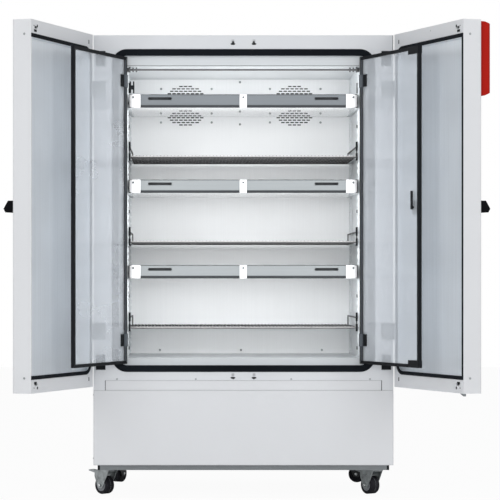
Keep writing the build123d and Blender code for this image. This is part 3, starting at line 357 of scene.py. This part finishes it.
# The material of each CAD node, by the record's slot or by the node's own name
SLOT_LOOKS = {
    "white_paint": "paint", "foam": "foam", "stainless": "chamber", "cassette_metal": "cassette",
    "lamp_glass": "tube", "zinc_steel": "zinc", "black_rubber": "rubber", "black_plastic": "black",
    "castor_tread": "tread", "pane_glass": "glass", "screen_glass": "screen", "red_housing": "red",
    "fin_aluminium": "fins", "machine_black": "machine", "cabinet_grey": "grey",
}
NODE_LOOKS = {
    "front_frame": "frame_paint", "left_door_liner": "door_steel", "right_door_liner": "door_steel",
    "air_panel": "air_wall", "ceiling_rail": "wire", "shelf_1": "wire", "shelf_2": "wire",
    "shelf_3": "wire", "base_chassis": "extrusion", "door_hinge_leaves": "hinge",
    "castor_brake_front_left": "pale_grey", "castor_brake_front_right": "pale_grey",
    # Rear forks take the near-black machine look: painted shade under the cabinet.
    "castor_fork_rear_left": "machine", "castor_fork_rear_right": "machine",
    "latch_strikers": "machine", "left_door_handle": "jet", "right_door_handle": "jet",
    # The top cassette takes the darker copy: painted shade.
    "light_cassette_3": "cassette_shaded_and_screws",
}
for part in frame["record"]["subparts"]:
    look = LOOKS[NODE_LOOKS.get(part["node"], SLOT_LOOKS[part["material_slot"]])]
    data = nodes[part["node"]].data
    if not data.materials:
        data.materials.append(look)
    for index in range(len(data.materials)):
        data.materials[index] = look


# Cabinet front

screws = Piece("frame_screws")
for x in (0.199, 0.527):
    for side in (-1, 1):
        screws.screw((side * x, FRONT_Y, 0.492), (0, -1, 0), 0.0036)
screws.done(LOOKS["pale_grey"], "cabinet")

# Painted shade at each striker: a black mark for its recess and a soft grey mark above it for its shadow.
recess_shades = Piece("striker_recess_shades")
pin_shadows = Piece("striker_pin_shadows")
for side in (-1, 1):
    for z in STRIKER_HEIGHTS:
        middle = side * STRIKER_MARK_X
        for tip in (-1, 1):
            recess_shades.prism([(middle, FRONT_Y - 0.0006, z + 0.0042), (middle, FRONT_Y - 0.0006, z - 0.0042),
                        (middle + tip * 0.0075, FRONT_Y - 0.0006, z - 0.0030),
                        (middle + tip * 0.0105, FRONT_Y - 0.0006, z),
                        (middle + tip * 0.0075, FRONT_Y - 0.0006, z + 0.0030)], (0, 0.0010, 0))
        pin_shadows.block((middle - 0.0055, middle + 0.0055), (FRONT_Y - 0.0008, FRONT_Y + 0.0006),
                    (z + 0.0065, z + 0.0185))
recess_shades.done(LOOKS["black"], "cabinet")
pin_shadows.done(LOOKS["soft_seam"], "cabinet", bevel=0.0004)

lines = Piece("sill_seams")
for side in (-1, 1):
    lines.block(span(side, 0.5745, 0.5772), (FRONT_Y + 0.0005, FRONT_Y + 0.0019),
                (PANEL_HIGH.z + 0.0005, SILL_HIGH.z + 0.0015))
lines.done(LOOKS["seam"], "cabinet")
lines = Piece("sill_soft_seams")
lines.block((-0.5772, 0.5772), (FRONT_Y + 0.0022, FRONT_Y + 0.0038),
            (SILL_HIGH.z + 0.0002, SILL_HIGH.z + 0.0019))
lines.block((-HALF_WIDTH + 0.003, HALF_WIDTH - 0.003), (FRONT_Y + 0.0006, FRONT_Y + 0.0018),
            (PANEL_HIGH.z + 0.0002, PANEL_HIGH.z + 0.0018))
lines.done(LOOKS["soft_seam"], "cabinet")

gap = Piece("door_side_gap")
gap.block((0.6213, 0.6232), (FRONT_Y - 0.0002, FRONT_Y + 0.001), (1.862, 1.923))
gap.done(LOOKS["seam"], "cabinet")

base_trim = Piece("base_panel_hems")
for side in (-1, 1):
    base_trim.block(span(side, HALF_WIDTH - 0.0022, HALF_WIDTH - 0.0008), (FRONT_Y - 0.0003, FRONT_Y + 0.001),
                    (PANEL_LOW.z + 0.001, PANEL_HIGH.z - 0.001))
base_trim.block((-HALF_WIDTH + 0.001, HALF_WIDTH - 0.001), (FRONT_Y - 0.0003, FRONT_Y + 0.001),
                (PANEL_LOW.z + 0.0008, PANEL_LOW.z + 0.0022))
base_trim.done(LOOKS["soft_seam"], "cabinet")

side_lines = Piece("side_panel_seams")
for side in (-1, 1):
    wall = span(side, HALF_WIDTH - 0.0006, HALF_WIDTH + 0.0004)
    side_lines.block(wall, (FRONT_Y + 0.010, REAR_HIGH.y - 0.012), (0.4445, 0.4460))
    for y in (FRONT_Y + 0.010, REAR_HIGH.y - 0.012):
        side_lines.block(wall, (y - 0.0007, y + 0.0007), (0.136, CABINET_TOP - 0.012))
side_lines.block((-HALF_WIDTH + 0.012, HALF_WIDTH - 0.012), (REAR_HIGH.y - 0.013, REAR_HIGH.y - 0.0116),
                 (CABINET_TOP - 0.0004, CABINET_TOP + 0.0003))
side_lines.done(LOOKS["soft_seam"], "cabinet")

side_screws = Piece("side_panel_screws")
for side in (-1, 1):
    for y in (FRONT_Y + 0.030, (FRONT_Y + REAR_HIGH.y) / 2, REAR_HIGH.y - 0.030):
        for z in (0.160, 0.425):
            side_screws.screw((side * HALF_WIDTH, y, z), (side, 0, 0), 0.0045)
for x in (-0.6, -0.3, 0.3, 0.6):
    for y in (FRONT_Y + 0.060, REAR_HIGH.y - 0.040):
        side_screws.screw((x, y, CABINET_TOP), (0, 0, 1), 0.0045)
side_screws.done(LOOKS["zinc"], "cabinet")

rear_screws = Piece("rear_panel_screws")
for x in (-0.605, 0.605):
    for step in range(7):
        rear_screws.screw((x, REAR_HIGH.y, 0.165 + step * REAR_SCREW_PITCH), (0, 1, 0), 0.0048)
for x in (-0.36, -0.12, 0.12, 0.36):
    for z in (0.160, 0.505, 1.897):
        rear_screws.screw((x, REAR_HIGH.y, z), (0, 1, 0), 0.0048)
rear_screws.done(LOOKS["zinc"], "cabinet")

rear_seam = Piece("rear_panel_seam")
rear_seam.block((-HALF_WIDTH + 0.010, HALF_WIDTH - 0.010), (REAR_HIGH.y - 0.0006, REAR_HIGH.y + 0.0004),
                (0.4865, 0.4880))
rear_seam.done(LOOKS["soft_seam"], "cabinet")

caps = Piece("chassis_cap_faces")
for side in (-1, 1):
    caps.block(span(side, CHASSIS_HIGH.x - 0.0065, CHASSIS_HIGH.x + 0.0031),
               (CHASSIS_LOW.y - 0.0008, CHASSIS_LOW.y + 0.001), (0.1125, 0.1325))
caps.done(LOOKS["black"], "cabinet", bevel=0.0004)

# Chamber back wall

screws = Piece("air_panel_screws")
for x, z in ((0, 1.7846), (0, 1.597), (-0.356, 0.594), (0.0045, 0.594), (0.364, 0.594)):
    screws.screw((x, AIR_LOW.y + 0.0012, z), (0, -1, 0), 0.0045)
for side in (-1, 1):
    for x in (-0.109, 0.116):
        for z in (-0.0745, 0.0745):
            screws.screw((side * FAN_X + x, AIR_LOW.y, FAN_Z + z), (0, -1, 0), 0.0045)
screws.done(LOOKS["zinc"], "cabinet")

shrouds = Piece("fan_shrouds")
for side in (-1, 1):
    shrouds.rod((side * FAN_X, AIR_HIGH.y + 0.0325, FAN_Z), (side * FAN_X, AIR_HIGH.y + 0.0345, FAN_Z), 0.108,
                segments=48)
    shrouds.ring((side * FAN_X, AIR_HIGH.y + 0.004, FAN_Z), (0, 1, 0), 0.104, 0.0035, 48, 8)
shrouds.done(LOOKS["black"], "cabinet")

clips = Piece("shelf_clips")
ladder_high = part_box("shelf_ladders")[1]
clips.block((-0.4755, -0.4560), (FRONT_Y + 0.064, FRONT_Y + 0.070), (1.7040, 1.7220))
for x in ((-0.4765, -0.4700), (-0.4620, -0.4560)):
    clips.block(x, (FRONT_Y + 0.0635, FRONT_Y + 0.0695), (1.6880, 1.7380))
for side in (-1, 1):
    for z, height in ((1.710, 0.044), (1.549, 0.014), (1.302, 0.05), (1.193, 0.014), (0.838, 0.014),
                      (0.620, 0.014)):
        clips.block(span(side, ladder_high.x - 0.0105, ladder_high.x - 0.0058),
                    (FRONT_Y + 0.064, FRONT_Y + 0.070), (z - height / 2, z + height / 2))
clips.done(LOOKS["black"], "cabinet", bevel=0.001)

ends = Piece("ceiling_rail_fittings")
rail_low, rail_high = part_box("ceiling_rail")
rail_y, rail_z = (rail_low.y + rail_high.y) / 2, (rail_low.z + rail_high.z) / 2
for side in (-1, 1):
    for x, radius in ((0.472, 0.0110), (0.458, 0.0085), (0.444, 0.0095)):
        ends.rod((side * x, rail_y, rail_z), (side * (x + 0.006), rail_y, rail_z), radius, segments=32)
        ends.ring((side * (x + 0.003), rail_y, rail_z), (1, 0, 0), radius * 0.86, 0.0024, 32, 8)
ends.rod((-0.4850, rail_y, rail_z), (0.4850, rail_y, rail_z), 0.0042, segments=20)
ends.done(LOOKS["rail_grey"], "cabinet")

# Painted shade: a thin grey line where the front flange folds into the chamber ceiling.
mouth = Piece("mouth_top_shade_line")
mouth.block((-0.4850, 0.4850), (FRONT_Y + 0.0296, FRONT_Y + 0.0306), (1.7995, 1.8025))
mouth.done(LOOKS["hinge"], "cabinet")

# Light cassettes and shelves

for number in (1, 2, 3):
    low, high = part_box(f"light_cassette_{number}")
    body = f"cassette_{number}"
    face_y = low.y + 0.0015
    # Painted shade: a near-black band at the lower lip and a near-black line along the top edge.
    lip = Piece(f"cassette_lip_{number}")
    line = Piece(f"cassette_top_line_{number}")
    for side in (-1, 1):
        lip_x = span(side, LIP_INNER_X, high.x - LIP_END_INSET)
        lip.block(lip_x, (face_y - 0.0012, face_y), (low.z, low.z + 0.011))
        line.block(lip_x, (face_y - 0.0006, face_y), (high.z - 0.0028, high.z - 0.0008))
    lip.done(LOOKS["lip"], body, bevel=0.0004)
    line.done(LOOKS["lip"], body)
    edges = Piece(f"cassette_lower_edges_{number}")
    edge_z = (low.z - 0.0001, low.z + 0.0026)
    edges.block((low.x + 0.0010, high.x - 0.0010), (high.y - 0.0016, high.y + 0.0002), edge_z)
    for side in (-1, 1):
        edges.block(span(side, high.x - 0.0016, high.x + 0.0002), (low.y + 0.0040, high.y), edge_z)
    edges.done(LOOKS["hinge"], body)
    covers = Piece(f"cassette_brackets_{number}")
    for side in (-1, 1):
        covers.block(span(side, high.x - 0.047, high.x - 0.0005), (low.y - 0.0008, low.y),
                     (low.z + 0.0005, high.z - 0.0005))
    covers.block((-0.0148, 0.0148), (low.y - 0.0008, low.y), (low.z + 0.0005, high.z - 0.0005))
    covers.done(LOOKS["bracket"], body, bevel=0.0004)
    hooks = Piece(f"cassette_hooks_{number}")
    for side in (-1, 1):
        hooks.block(span(side, high.x - 0.0016, high.x - 0.0002), (low.y - 0.0012, low.y + 0.012),
                    (low.z + 0.002, high.z - 0.002))
        hooks.block(span(side, high.x - 0.0075, high.x - 0.0002), (low.y - 0.0012, low.y + 0.006),
                    (low.z + 0.0002, low.z + 0.0028))
        hooks.block(span(side, high.x - 0.0105, high.x - 0.0002), (low.y - 0.0012, low.y + 0.006),
                    (high.z - 0.0024, high.z - 0.0002))
    hooks.done(LOOKS["black"], body, bevel=0.0003)
    heads = Piece(f"cassette_screws_{number}")
    for x in (-0.460, 0, 0.460):
        heads.screw((x, low.y - 0.0008, high.z - 0.0125), (0, -1, 0), 0.004)
    heads.done(LOOKS["cassette_shaded_and_screws"], body)
    # Behind each grip opening, dark plates paint the shade inside the recess.
    rims = Piece(f"cassette_grip_rims_{number}")
    grip_shades = Piece(f"cassette_grip_shades_{number}")
    rim_y = face_y - 0.0002
    for side in (-1, 1):
        middle_x, middle_z = side * GRIP_X, high.z - GRIP_DROP
        for end in (-1, 1):
            rim_z = middle_z + end * GRIP_HALF_HEIGHT
            rims.block((middle_x - GRIP_HALF_WIDTH, middle_x + GRIP_HALF_WIDTH), (rim_y, rim_y + 0.0016),
                       (middle_z + end * 0.0058, rim_z))
            for tip in (-1, 1):
                tip_x = middle_x + tip * GRIP_HALF_WIDTH
                rims.prism([(tip_x, rim_y, middle_z), (tip_x, rim_y, rim_z),
                            (middle_x + tip * 0.0450, rim_y, rim_z)], (0, 0.0016, 0))
        grip_shades.block((middle_x - 0.0600, middle_x + 0.0600), (face_y + 0.030, face_y + 0.031),
                    (middle_z - 0.0120, middle_z + 0.0120))
        grip_shades.block((middle_x - 0.0600, middle_x + 0.0600), (face_y + 0.0285, face_y + 0.030),
                    (middle_z - 0.0012, middle_z + 0.0012))
    # The top cassette's rims take the darker copy: painted shade.
    rims.done(LOOKS["cassette_shaded_and_screws" if number == 3 else "cassette"], body)
    grip_shades.done(LOOKS["seam"], body)

for number in (1, 2, 3):
    low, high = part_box(f"shelf_{number}")
    top = SHELF_TOPS[number - 1]
    body = f"shelf_{number}"
    bar = Piece(f"shelf_front_bar_{number}")
    bar.rod((low.x + 0.002, low.y + 0.0015, low.z + 0.0022), (high.x - 0.002, low.y + 0.0015, low.z + 0.0022),
            0.0024)
    bar.done(LOOKS["machine"], body)
    # Painted highlight along the top of the front wire.
    crest = Piece(f"shelf_front_crest_{number}")
    crest.rod((low.x + 0.004, low.y + 0.0013, top - 0.0026), (high.x - 0.004, low.y + 0.0013, top - 0.0026),
              0.0022)
    crest.done(LOOKS["wire_top"], body)
    # Wires painted near black and thick, with their cast shadows painted in.
    wires = Piece(f"shelf_wires_{number}")
    for step in range(WIRE_COUNT):
        x = (step - (WIRE_COUNT - 1) / 2) * WIRE_PITCH
        wires.rod((x, low.y + 0.0060, top - 0.0015), (x, high.y - 0.0010, top - 0.0015), 0.0027, segments=8)
    wires.done(LOOKS["wire_dark"], body)
    hooks = Piece(f"shelf_hooks_{number}")
    for side in (-1, 1):
        for rise, fall in ((0.0590, 0.0220), (0.0110, -0.0200)):
            hooks.block(span(side, 0.4712, 0.4796), (low.y - 0.0010, low.y + 0.0062),
                        (top + fall, top + rise))
        hooks.rod((side * 0.4755, low.y - 0.0006, top + 0.0570),
                  (side * 0.4755, low.y - 0.0006, top - 0.0180), 0.0018, segments=12)
    hooks.done(LOOKS["black"], body, bevel=0.0012)

# Outer doors

for side, name in SIDES:
    place = swung(f"{name}_door_hinge")
    body = f"{name}_door"
    heads = Piece(f"{name}_door_edge_screws", place)
    for z in (1.866, 0.521):
        heads.screw((side * DOOR_FREE_X, DOOR_INNER_Y - 0.029, z), (-side, 0, 0), 0.0042)
    if side > 0:
        heads.screw((0.290, DOOR_INNER_Y, 1.9065), (0, 1, 0), 0.003)
    heads.done(LOOKS["zinc"], body)
    marks = Piece(f"{name}_door_marks", place)
    for z in (1.890, 0.495):
        marks.block(span(side, 0.5790, 0.5860), (DOOR_INNER_Y - 0.0005, DOOR_INNER_Y + 0.0004),
                    (z - 0.008, z + 0.008))
    for z, turn in ((1.8815, 1), (0.5015, -1)):
        marks.block(span(side, 0.0330, 0.0570), (DOOR_INNER_Y - 0.0005, DOOR_INNER_Y + 0.0008),
                    (z - 0.0050, z + 0.0045))
        marks.block(span(side, 0.0300, 0.0350), (DOOR_INNER_Y - 0.0005, DOOR_INNER_Y + 0.0005),
                    (z + 0.019 * turn - 0.002, z + 0.019 * turn + 0.002))
        marks.block(span(side, 0.0600, 0.0680), (DOOR_INNER_Y - 0.0005, DOOR_INNER_Y + 0.0008),
                    (z + 0.020 * turn - 0.0050, z + 0.020 * turn + 0.0050))
    marks.done(LOOKS["black"], body)
    hems = Piece(f"{name}_door_hems", place)
    faces = (DOOR_OUTER_Y - 0.0003, DOOR_OUTER_Y + 0.0005)
    hem_z = (DOOR_LOW.z + EDGE_INSET, DOOR_HIGH.z - EDGE_INSET)
    for z in hem_z:
        hems.block(span(side, DOOR_FREE_X + EDGE_INSET, HALF_WIDTH - EDGE_INSET), faces,
                   (z - SEAM_HALF_WIDTH, z + SEAM_HALF_WIDTH))
    hems.block(span(side, HALF_WIDTH - 0.0116, HALF_WIDTH - 0.0104), faces, hem_z)
    for part_z in ((hem_z[0], HANDLE_SWEEP_Z[0]), (HANDLE_SWEEP_Z[1], hem_z[1])):
        hems.block(span(side, DOOR_FREE_X + 0.0104, DOOR_FREE_X + 0.0116), faces, part_z)
    hems.done(LOOKS["soft_seam"], body)
    grip = Piece(f"{name}_handle_details", place)
    grip.rod((side * HANDLE_X, DOOR_OUTER_Y - 0.0350, HANDLE_Z),
             (side * HANDLE_X, DOOR_OUTER_Y - 0.0405, HANDLE_Z), 0.0065, segments=32)
    grip.done(LOOKS["jet"], body, bevel=0.0003)
    if side > 0:
        foot = Piece("right_door_foot", place)
        foot.prism([(0.0045, DOOR_INNER_Y - 0.0020, 0.4612), (0.0045, DOOR_INNER_Y - 0.0020, 0.4508),
                    (0.0090, DOOR_INNER_Y - 0.0020, 0.4508), (0.0400, DOOR_INNER_Y - 0.0020, 0.4612)],
                   (0, -0.010, 0))
        foot.done(LOOKS["grey"], body, bevel=0.0008)

# Controller on the right door

place = swung("right_door_hinge")
panel_y = DOOR_OUTER_Y - 0.050
bezel = Piece("controller_bezel", place)
for x in ((0.0570, 0.0610), (0.1810, 0.1850)):
    bezel.block(x, (panel_y - 0.0012, panel_y + 0.0030), (1.7750, 1.8610))
for z in ((1.7750, 1.7790), (1.8570, 1.8610)):
    bezel.block((0.0610, 0.1810), (panel_y - 0.0012, panel_y + 0.0030), z)
bezel.done(LOOKS["black"], "right_door", bevel=0.0006)
keys = Piece("controller_keys", place)
for column in range(KEY_COLUMNS):
    for row in range(KEY_ROWS):
        x, z = 0.079 + column * 0.028, 1.7470 - row * 0.0200
        keys.block((x - 0.0095, x + 0.0095), (panel_y - 0.0012, panel_y + 0.0005), (z - 0.0065, z + 0.0065))
keys.done(LOOKS["key"], "right_door", bevel=0.0008)
lamps = Piece("controller_lamps", place)
for x in (0.190, 0.200):
    lamps.rod((x, panel_y + 0.001, 1.8220), (x, panel_y - 0.0008, 1.8220), 0.0025, 0.0020, 20)
lamps.block((0.1060, 0.1360), (panel_y - 0.0010, panel_y + 0.001), (1.6500, 1.6660))
lamps.block((0.1070, 0.1210), (panel_y - 0.0022, panel_y + 0.001), (1.6510, 1.6650))
lamps.done(LOOKS["black"], "right_door", bevel=0.0004)
# Darker red lines: painted shade along the housing edges and in the louvre slots.
edge = Piece("controller_edge_lines", place)
for x in (0.0160, 0.2260):
    edge.block((x - 0.0004, x + 0.0004), (DOOR_OUTER_Y - 0.0100, DOOR_OUTER_Y - 0.0088), (1.6310, 1.9160))
for step in range(LOUVRE_COUNT):
    z = 1.6620 + step * LOUVRE_PITCH
    edge.block((0.2255, 0.2264), (DOOR_OUTER_Y - 0.0260, DOOR_OUTER_Y - 0.0130), (z - 0.0012, z + 0.0012))
edge.done(LOOKS["red_line"], "right_door")

# Glass doors

for side, name in SIDES:
    place = swung(f"{name}_glass_hinge")
    body = f"{name}_glass_door"
    stripe = Piece(f"{name}_glass_rail_stripe", place)
    inner, outer = RAIL_WIDTH * 0.42, RAIL_WIDTH * 0.58
    for y in (GLASS_FRONT_Y, GLASS_BACK_Y):
        faces = (y - 0.0004, y + 0.0004)
        stripe.block(span(side, GLASS_PIN_SIDE_X - outer, GLASS_PIN_SIDE_X - inner), faces,
                     (GLASS_LOW.z + inner, GLASS_HIGH.z - inner))
    stripe.done(LOOKS["grey"], body)
    lining = Piece(f"{name}_glass_rail_lining", place)
    edge = Piece(f"{name}_glass_rail_edge", place)
    rail_z = (GLASS_LOW.z + RAIL_WIDTH, GLASS_HIGH.z - RAIL_WIDTH)
    lining.block(span(side, RAIL_INNER_X - 0.0008, RAIL_INNER_X), (PANE_BACK_Y, GLASS_BACK_Y - 0.0004),
                 rail_z)
    edge.block(span(side, RAIL_INNER_X - 0.0080, RAIL_INNER_X - 0.0010),
               (PANE_BACK_Y, PANE_BACK_Y + 0.0006), rail_z)
    clamps = Piece(f"{name}_glass_clamp_plates", place)
    fasteners = Piece(f"{name}_glass_clamp_screws", place)
    for middle in CLAMP_HEIGHTS:
        clamp_z = (middle - 0.0266, middle + 0.0266)
        lining.block(span(side, CLAMP_INNER_X - 0.0006, CLAMP_INNER_X), (PANE_BACK_Y, GLASS_BACK_Y + 0.0018),
                     clamp_z)
        lining.block(span(side, CLAMP_INNER_X, CLAMP_INNER_X + 0.0250),
                     (GLASS_BACK_Y + 0.0020, GLASS_BACK_Y + 0.0024), clamp_z)
        clamps.block(span(side, 0.4600, CLAMP_INNER_X - 0.0010), (PANE_BACK_Y, PANE_BACK_Y + 0.0028),
                     (middle - 0.025, middle + 0.025))
        for z in (middle - 0.014, middle + 0.014):
            fasteners.screw((side * 0.4700, PANE_BACK_Y + 0.0028, z), (0, 1, 0), 0.0030)
    lining.done(LOOKS["seal_grey"], body)
    edge.done(LOOKS["machine"], body)
    clamps.done(LOOKS["black"], body, bevel=0.0006)
    fasteners.done(LOOKS["black"], body)
    if side > 0:
        corners = Piece("right_glass_corner_blocks", place)
        for z in (GLASS_LOW.z, GLASS_HIGH.z - 0.030):
            corners.block((GLASS_FREE_X + 0.0005, 0.087), (GLASS_FRONT_Y - 0.0022, GLASS_FRONT_Y + 0.0040),
                          (z + 0.0005, z + 0.0295))
            corners.block((GLASS_FREE_X + 0.0005, 0.087), (GLASS_BACK_Y - 0.0040, GLASS_BACK_Y + 0.0020),
                          (z + 0.0005, z + 0.0295))
        corners.done(LOOKS["black"], body, bevel=0.0008)
    else:
        keeper = Piece("left_glass_keeper", place)
        keeper.block((-0.0240, -0.0025), (GLASS_FRONT_Y - 0.0012, GLASS_FRONT_Y + 0.0030), (1.1800, 1.2080))
        keeper.done(LOOKS["grey"], body, bevel=0.0008)

# Castors

for corner in CORNERS:
    swivel = Vector(joints[f"swivel_{corner}"]["pos_m"])
    axle = Vector(joints[f"wheel_spin_{corner}"]["axis"])
    hub = Vector(joints[f"wheel_spin_{corner}"]["pos_m"])
    discs = Piece(f"castor_discs_{corner}")
    for side in (-1, 1):
        out = axle * side
        discs.rod(hub + out * 0.0195, hub + out * 0.0222, 0.0255, 0.0245, 48)
        discs.ring(hub + out * 0.0218, out, 0.0235, 0.0012, 48, 8)
        discs.rod(hub + out * 0.0222, hub + out * 0.0236, 0.0115, 0.0095, 32)
    # Rear discs take the black tread look: painted shade under the cabinet.
    discs.done(LOOKS["disc" if corner.startswith("front") else "tread"], f"wheel_{corner}")
    groove = Piece(f"castor_groove_{corner}")
    groove.ring(hub, axle, 0.0366, 0.0011, 72, 8)
    groove.done(LOOKS["grey"], f"wheel_{corner}")
    nuts = Piece(f"castor_nuts_{corner}")
    for side in (-1, 1):
        out = axle * side
        nuts.rod(hub + out * 0.0274, hub + out * 0.0315, 0.0075, 0.0068, 6)
        nuts.rod(hub + out * 0.0315, hub + out * 0.0330, 0.0042, 0.0034, 20)
    # Axle caps in pale steel: painted highlight at the hub centre.
    caps = Piece(f"castor_axle_caps_{corner}")
    for side in (-1, 1):
        out = axle * side
        caps.rod(hub + out * 0.0330, hub + out * 0.0336, 0.0052, 0.0030, 24)
    caps.done(LOOKS["bright"], f"fork_{corner}")
    race = swivel.copy()
    race.z = RACE_Z
    nuts.ring(race, (0, 0, 1), 0.0245, 0.0028, 48, 10)
    nuts.done(LOOKS["zinc"], f"fork_{corner}")

# Floor, light and camera

FLOOR_HALF = 14.0
floor_mesh = bpy.data.meshes.new("floor")
floor_mesh.from_pydata([(-FLOOR_HALF, -FLOOR_HALF, 0), (FLOOR_HALF, -FLOOR_HALF, 0),
                        (FLOOR_HALF, FLOOR_HALF, 0), (-FLOOR_HALF, FLOOR_HALF, 0)], [], [(0, 1, 2, 3)])
floor = bpy.data.objects.new("floor", floor_mesh)
bpy.context.scene.collection.objects.link(floor)
floor_look = bpy.data.materials.new("studio_floor")
floor_look.use_nodes = True
tree = floor_look.node_tree
tree.nodes["Principled BSDF"].inputs["Base Color"].default_value = (0.9, 0.9, 0.9, 1)
tree.nodes["Principled BSDF"].inputs["Roughness"].default_value = 0.9
ray = tree.nodes.new("ShaderNodeLightPath")
glow = tree.nodes.new("ShaderNodeEmission")
mix = tree.nodes.new("ShaderNodeMixShader")
seen = tree.nodes.new("ShaderNodeMath")
seen.operation = "MULTIPLY"
seen.inputs[1].default_value = 0.95
tree.links.new(ray.outputs["Is Camera Ray"], seen.inputs[0])
tree.links.new(seen.outputs["Value"], mix.inputs["Fac"])
tree.links.new(tree.nodes["Principled BSDF"].outputs["BSDF"], mix.inputs[1])
tree.links.new(glow.outputs["Emission"], mix.inputs[2])
tree.links.new(mix.outputs["Shader"], tree.nodes["Material Output"].inputs["Surface"])
floor_mesh.materials.append(floor_look)

world = bpy.data.worlds.new("studio")
bpy.context.scene.world = world
world.use_nodes = True
tree = world.node_tree
soft = tree.nodes["Background"]
soft.inputs["Color"].default_value = (0.97, 0.985, 1.0, 1)
soft.inputs["Strength"].default_value = 0.40
white = tree.nodes.new("ShaderNodeBackground")
white.inputs["Color"].default_value = (1, 1, 1, 1)
ray = tree.nodes.new("ShaderNodeLightPath")
either = tree.nodes.new("ShaderNodeMath")
either.operation = "MAXIMUM"
glassy = tree.nodes.new("ShaderNodeMath")
glassy.operation = "MAXIMUM"
mix = tree.nodes.new("ShaderNodeMixShader")
tree.links.new(ray.outputs["Is Camera Ray"], either.inputs[0])
tree.links.new(ray.outputs["Is Glossy Ray"], either.inputs[1])
tree.links.new(either.outputs["Value"], glassy.inputs[0])
tree.links.new(ray.outputs["Is Transmission Ray"], glassy.inputs[1])
tree.links.new(glassy.outputs["Value"], mix.inputs["Fac"])
tree.links.new(soft.outputs["Background"], mix.inputs[1])
tree.links.new(white.outputs["Background"], mix.inputs[2])
tree.links.new(mix.outputs["Shader"], tree.nodes["World Output"].inputs["Surface"])


def lamp(name, place, aim, width, height, energy):
    """A soft area light, aimed at a point. Camera, metal and glass don't see it."""
    data = bpy.data.lights.new(name, "AREA")
    data.shape = "RECTANGLE"
    data.size = width
    data.size_y = height
    data.energy = energy
    light = bpy.data.objects.new(name, data)
    light.location = place
    light.rotation_euler = (Vector(aim) - Vector(place)).to_track_quat("-Z", "Y").to_euler()
    light.visible_glossy = False
    light.visible_camera = False
    light.visible_transmission = False
    bpy.context.scene.collection.objects.link(light)


lamp("front_softbox", (-0.3, FRONT_Y - 9.0, 1.8), (0, FRONT_Y, 1.1), 3.4, 2.2, 130)
lamp("left_softbox", (-4.2, FRONT_Y - 6.5, 2.2), (0, FRONT_Y, 1.0), 2.5, 2.5, 112)
lamp("right_softbox", (4.2, FRONT_Y - 6.5, 2.2), (0, FRONT_Y, 1.0), 2.5, 2.5, 112)
lamp("chamber_fill", (0, FRONT_Y + 0.020, 1.22), (0, FRONT_Y + 1.0, 1.22), 0.93, 1.12, 10.5)
lamp("ceiling_fill", (0, FRONT_Y + 0.300, 1.690), (0, FRONT_Y + 0.300, 1.8), 0.90, 0.50, 1.7)
lamp("door_fill", (0, FRONT_Y - 0.030, 1.185), (0, FRONT_Y - 1.0, 1.185), 0.93, 1.16, 6.0)

# The photograph's frame: 500 px wide, its straight-ahead point at column 188.5 and row 280
PHOTO_SIZE = 500
AHEAD_COLUMN = 188.5
AHEAD_ROW = 280.0
FRONT_SCALE = 0.0041667
CAMERA_DISTANCE = 9.438
SENSOR = 36.0
camera_data = bpy.data.cameras.new("camera")
camera_data.sensor_width = SENSOR
camera_data.lens = SENSOR * CAMERA_DISTANCE / (FRONT_SCALE * PHOTO_SIZE)
camera_data.shift_x = (PHOTO_SIZE / 2 - AHEAD_COLUMN) / PHOTO_SIZE
camera_data.shift_y = (AHEAD_ROW - PHOTO_SIZE / 2) / PHOTO_SIZE
camera_data.clip_end = 100
camera = bpy.data.objects.new("camera", camera_data)
camera.location = (-0.229, FRONT_Y - CAMERA_DISTANCE, 0.905)
camera.rotation_euler = (math.pi / 2, 0, 0)
bpy.context.scene.collection.objects.link(camera)
bpy.context.scene.camera = camera
bpy.context.scene.view_settings.view_transform = "Standard"
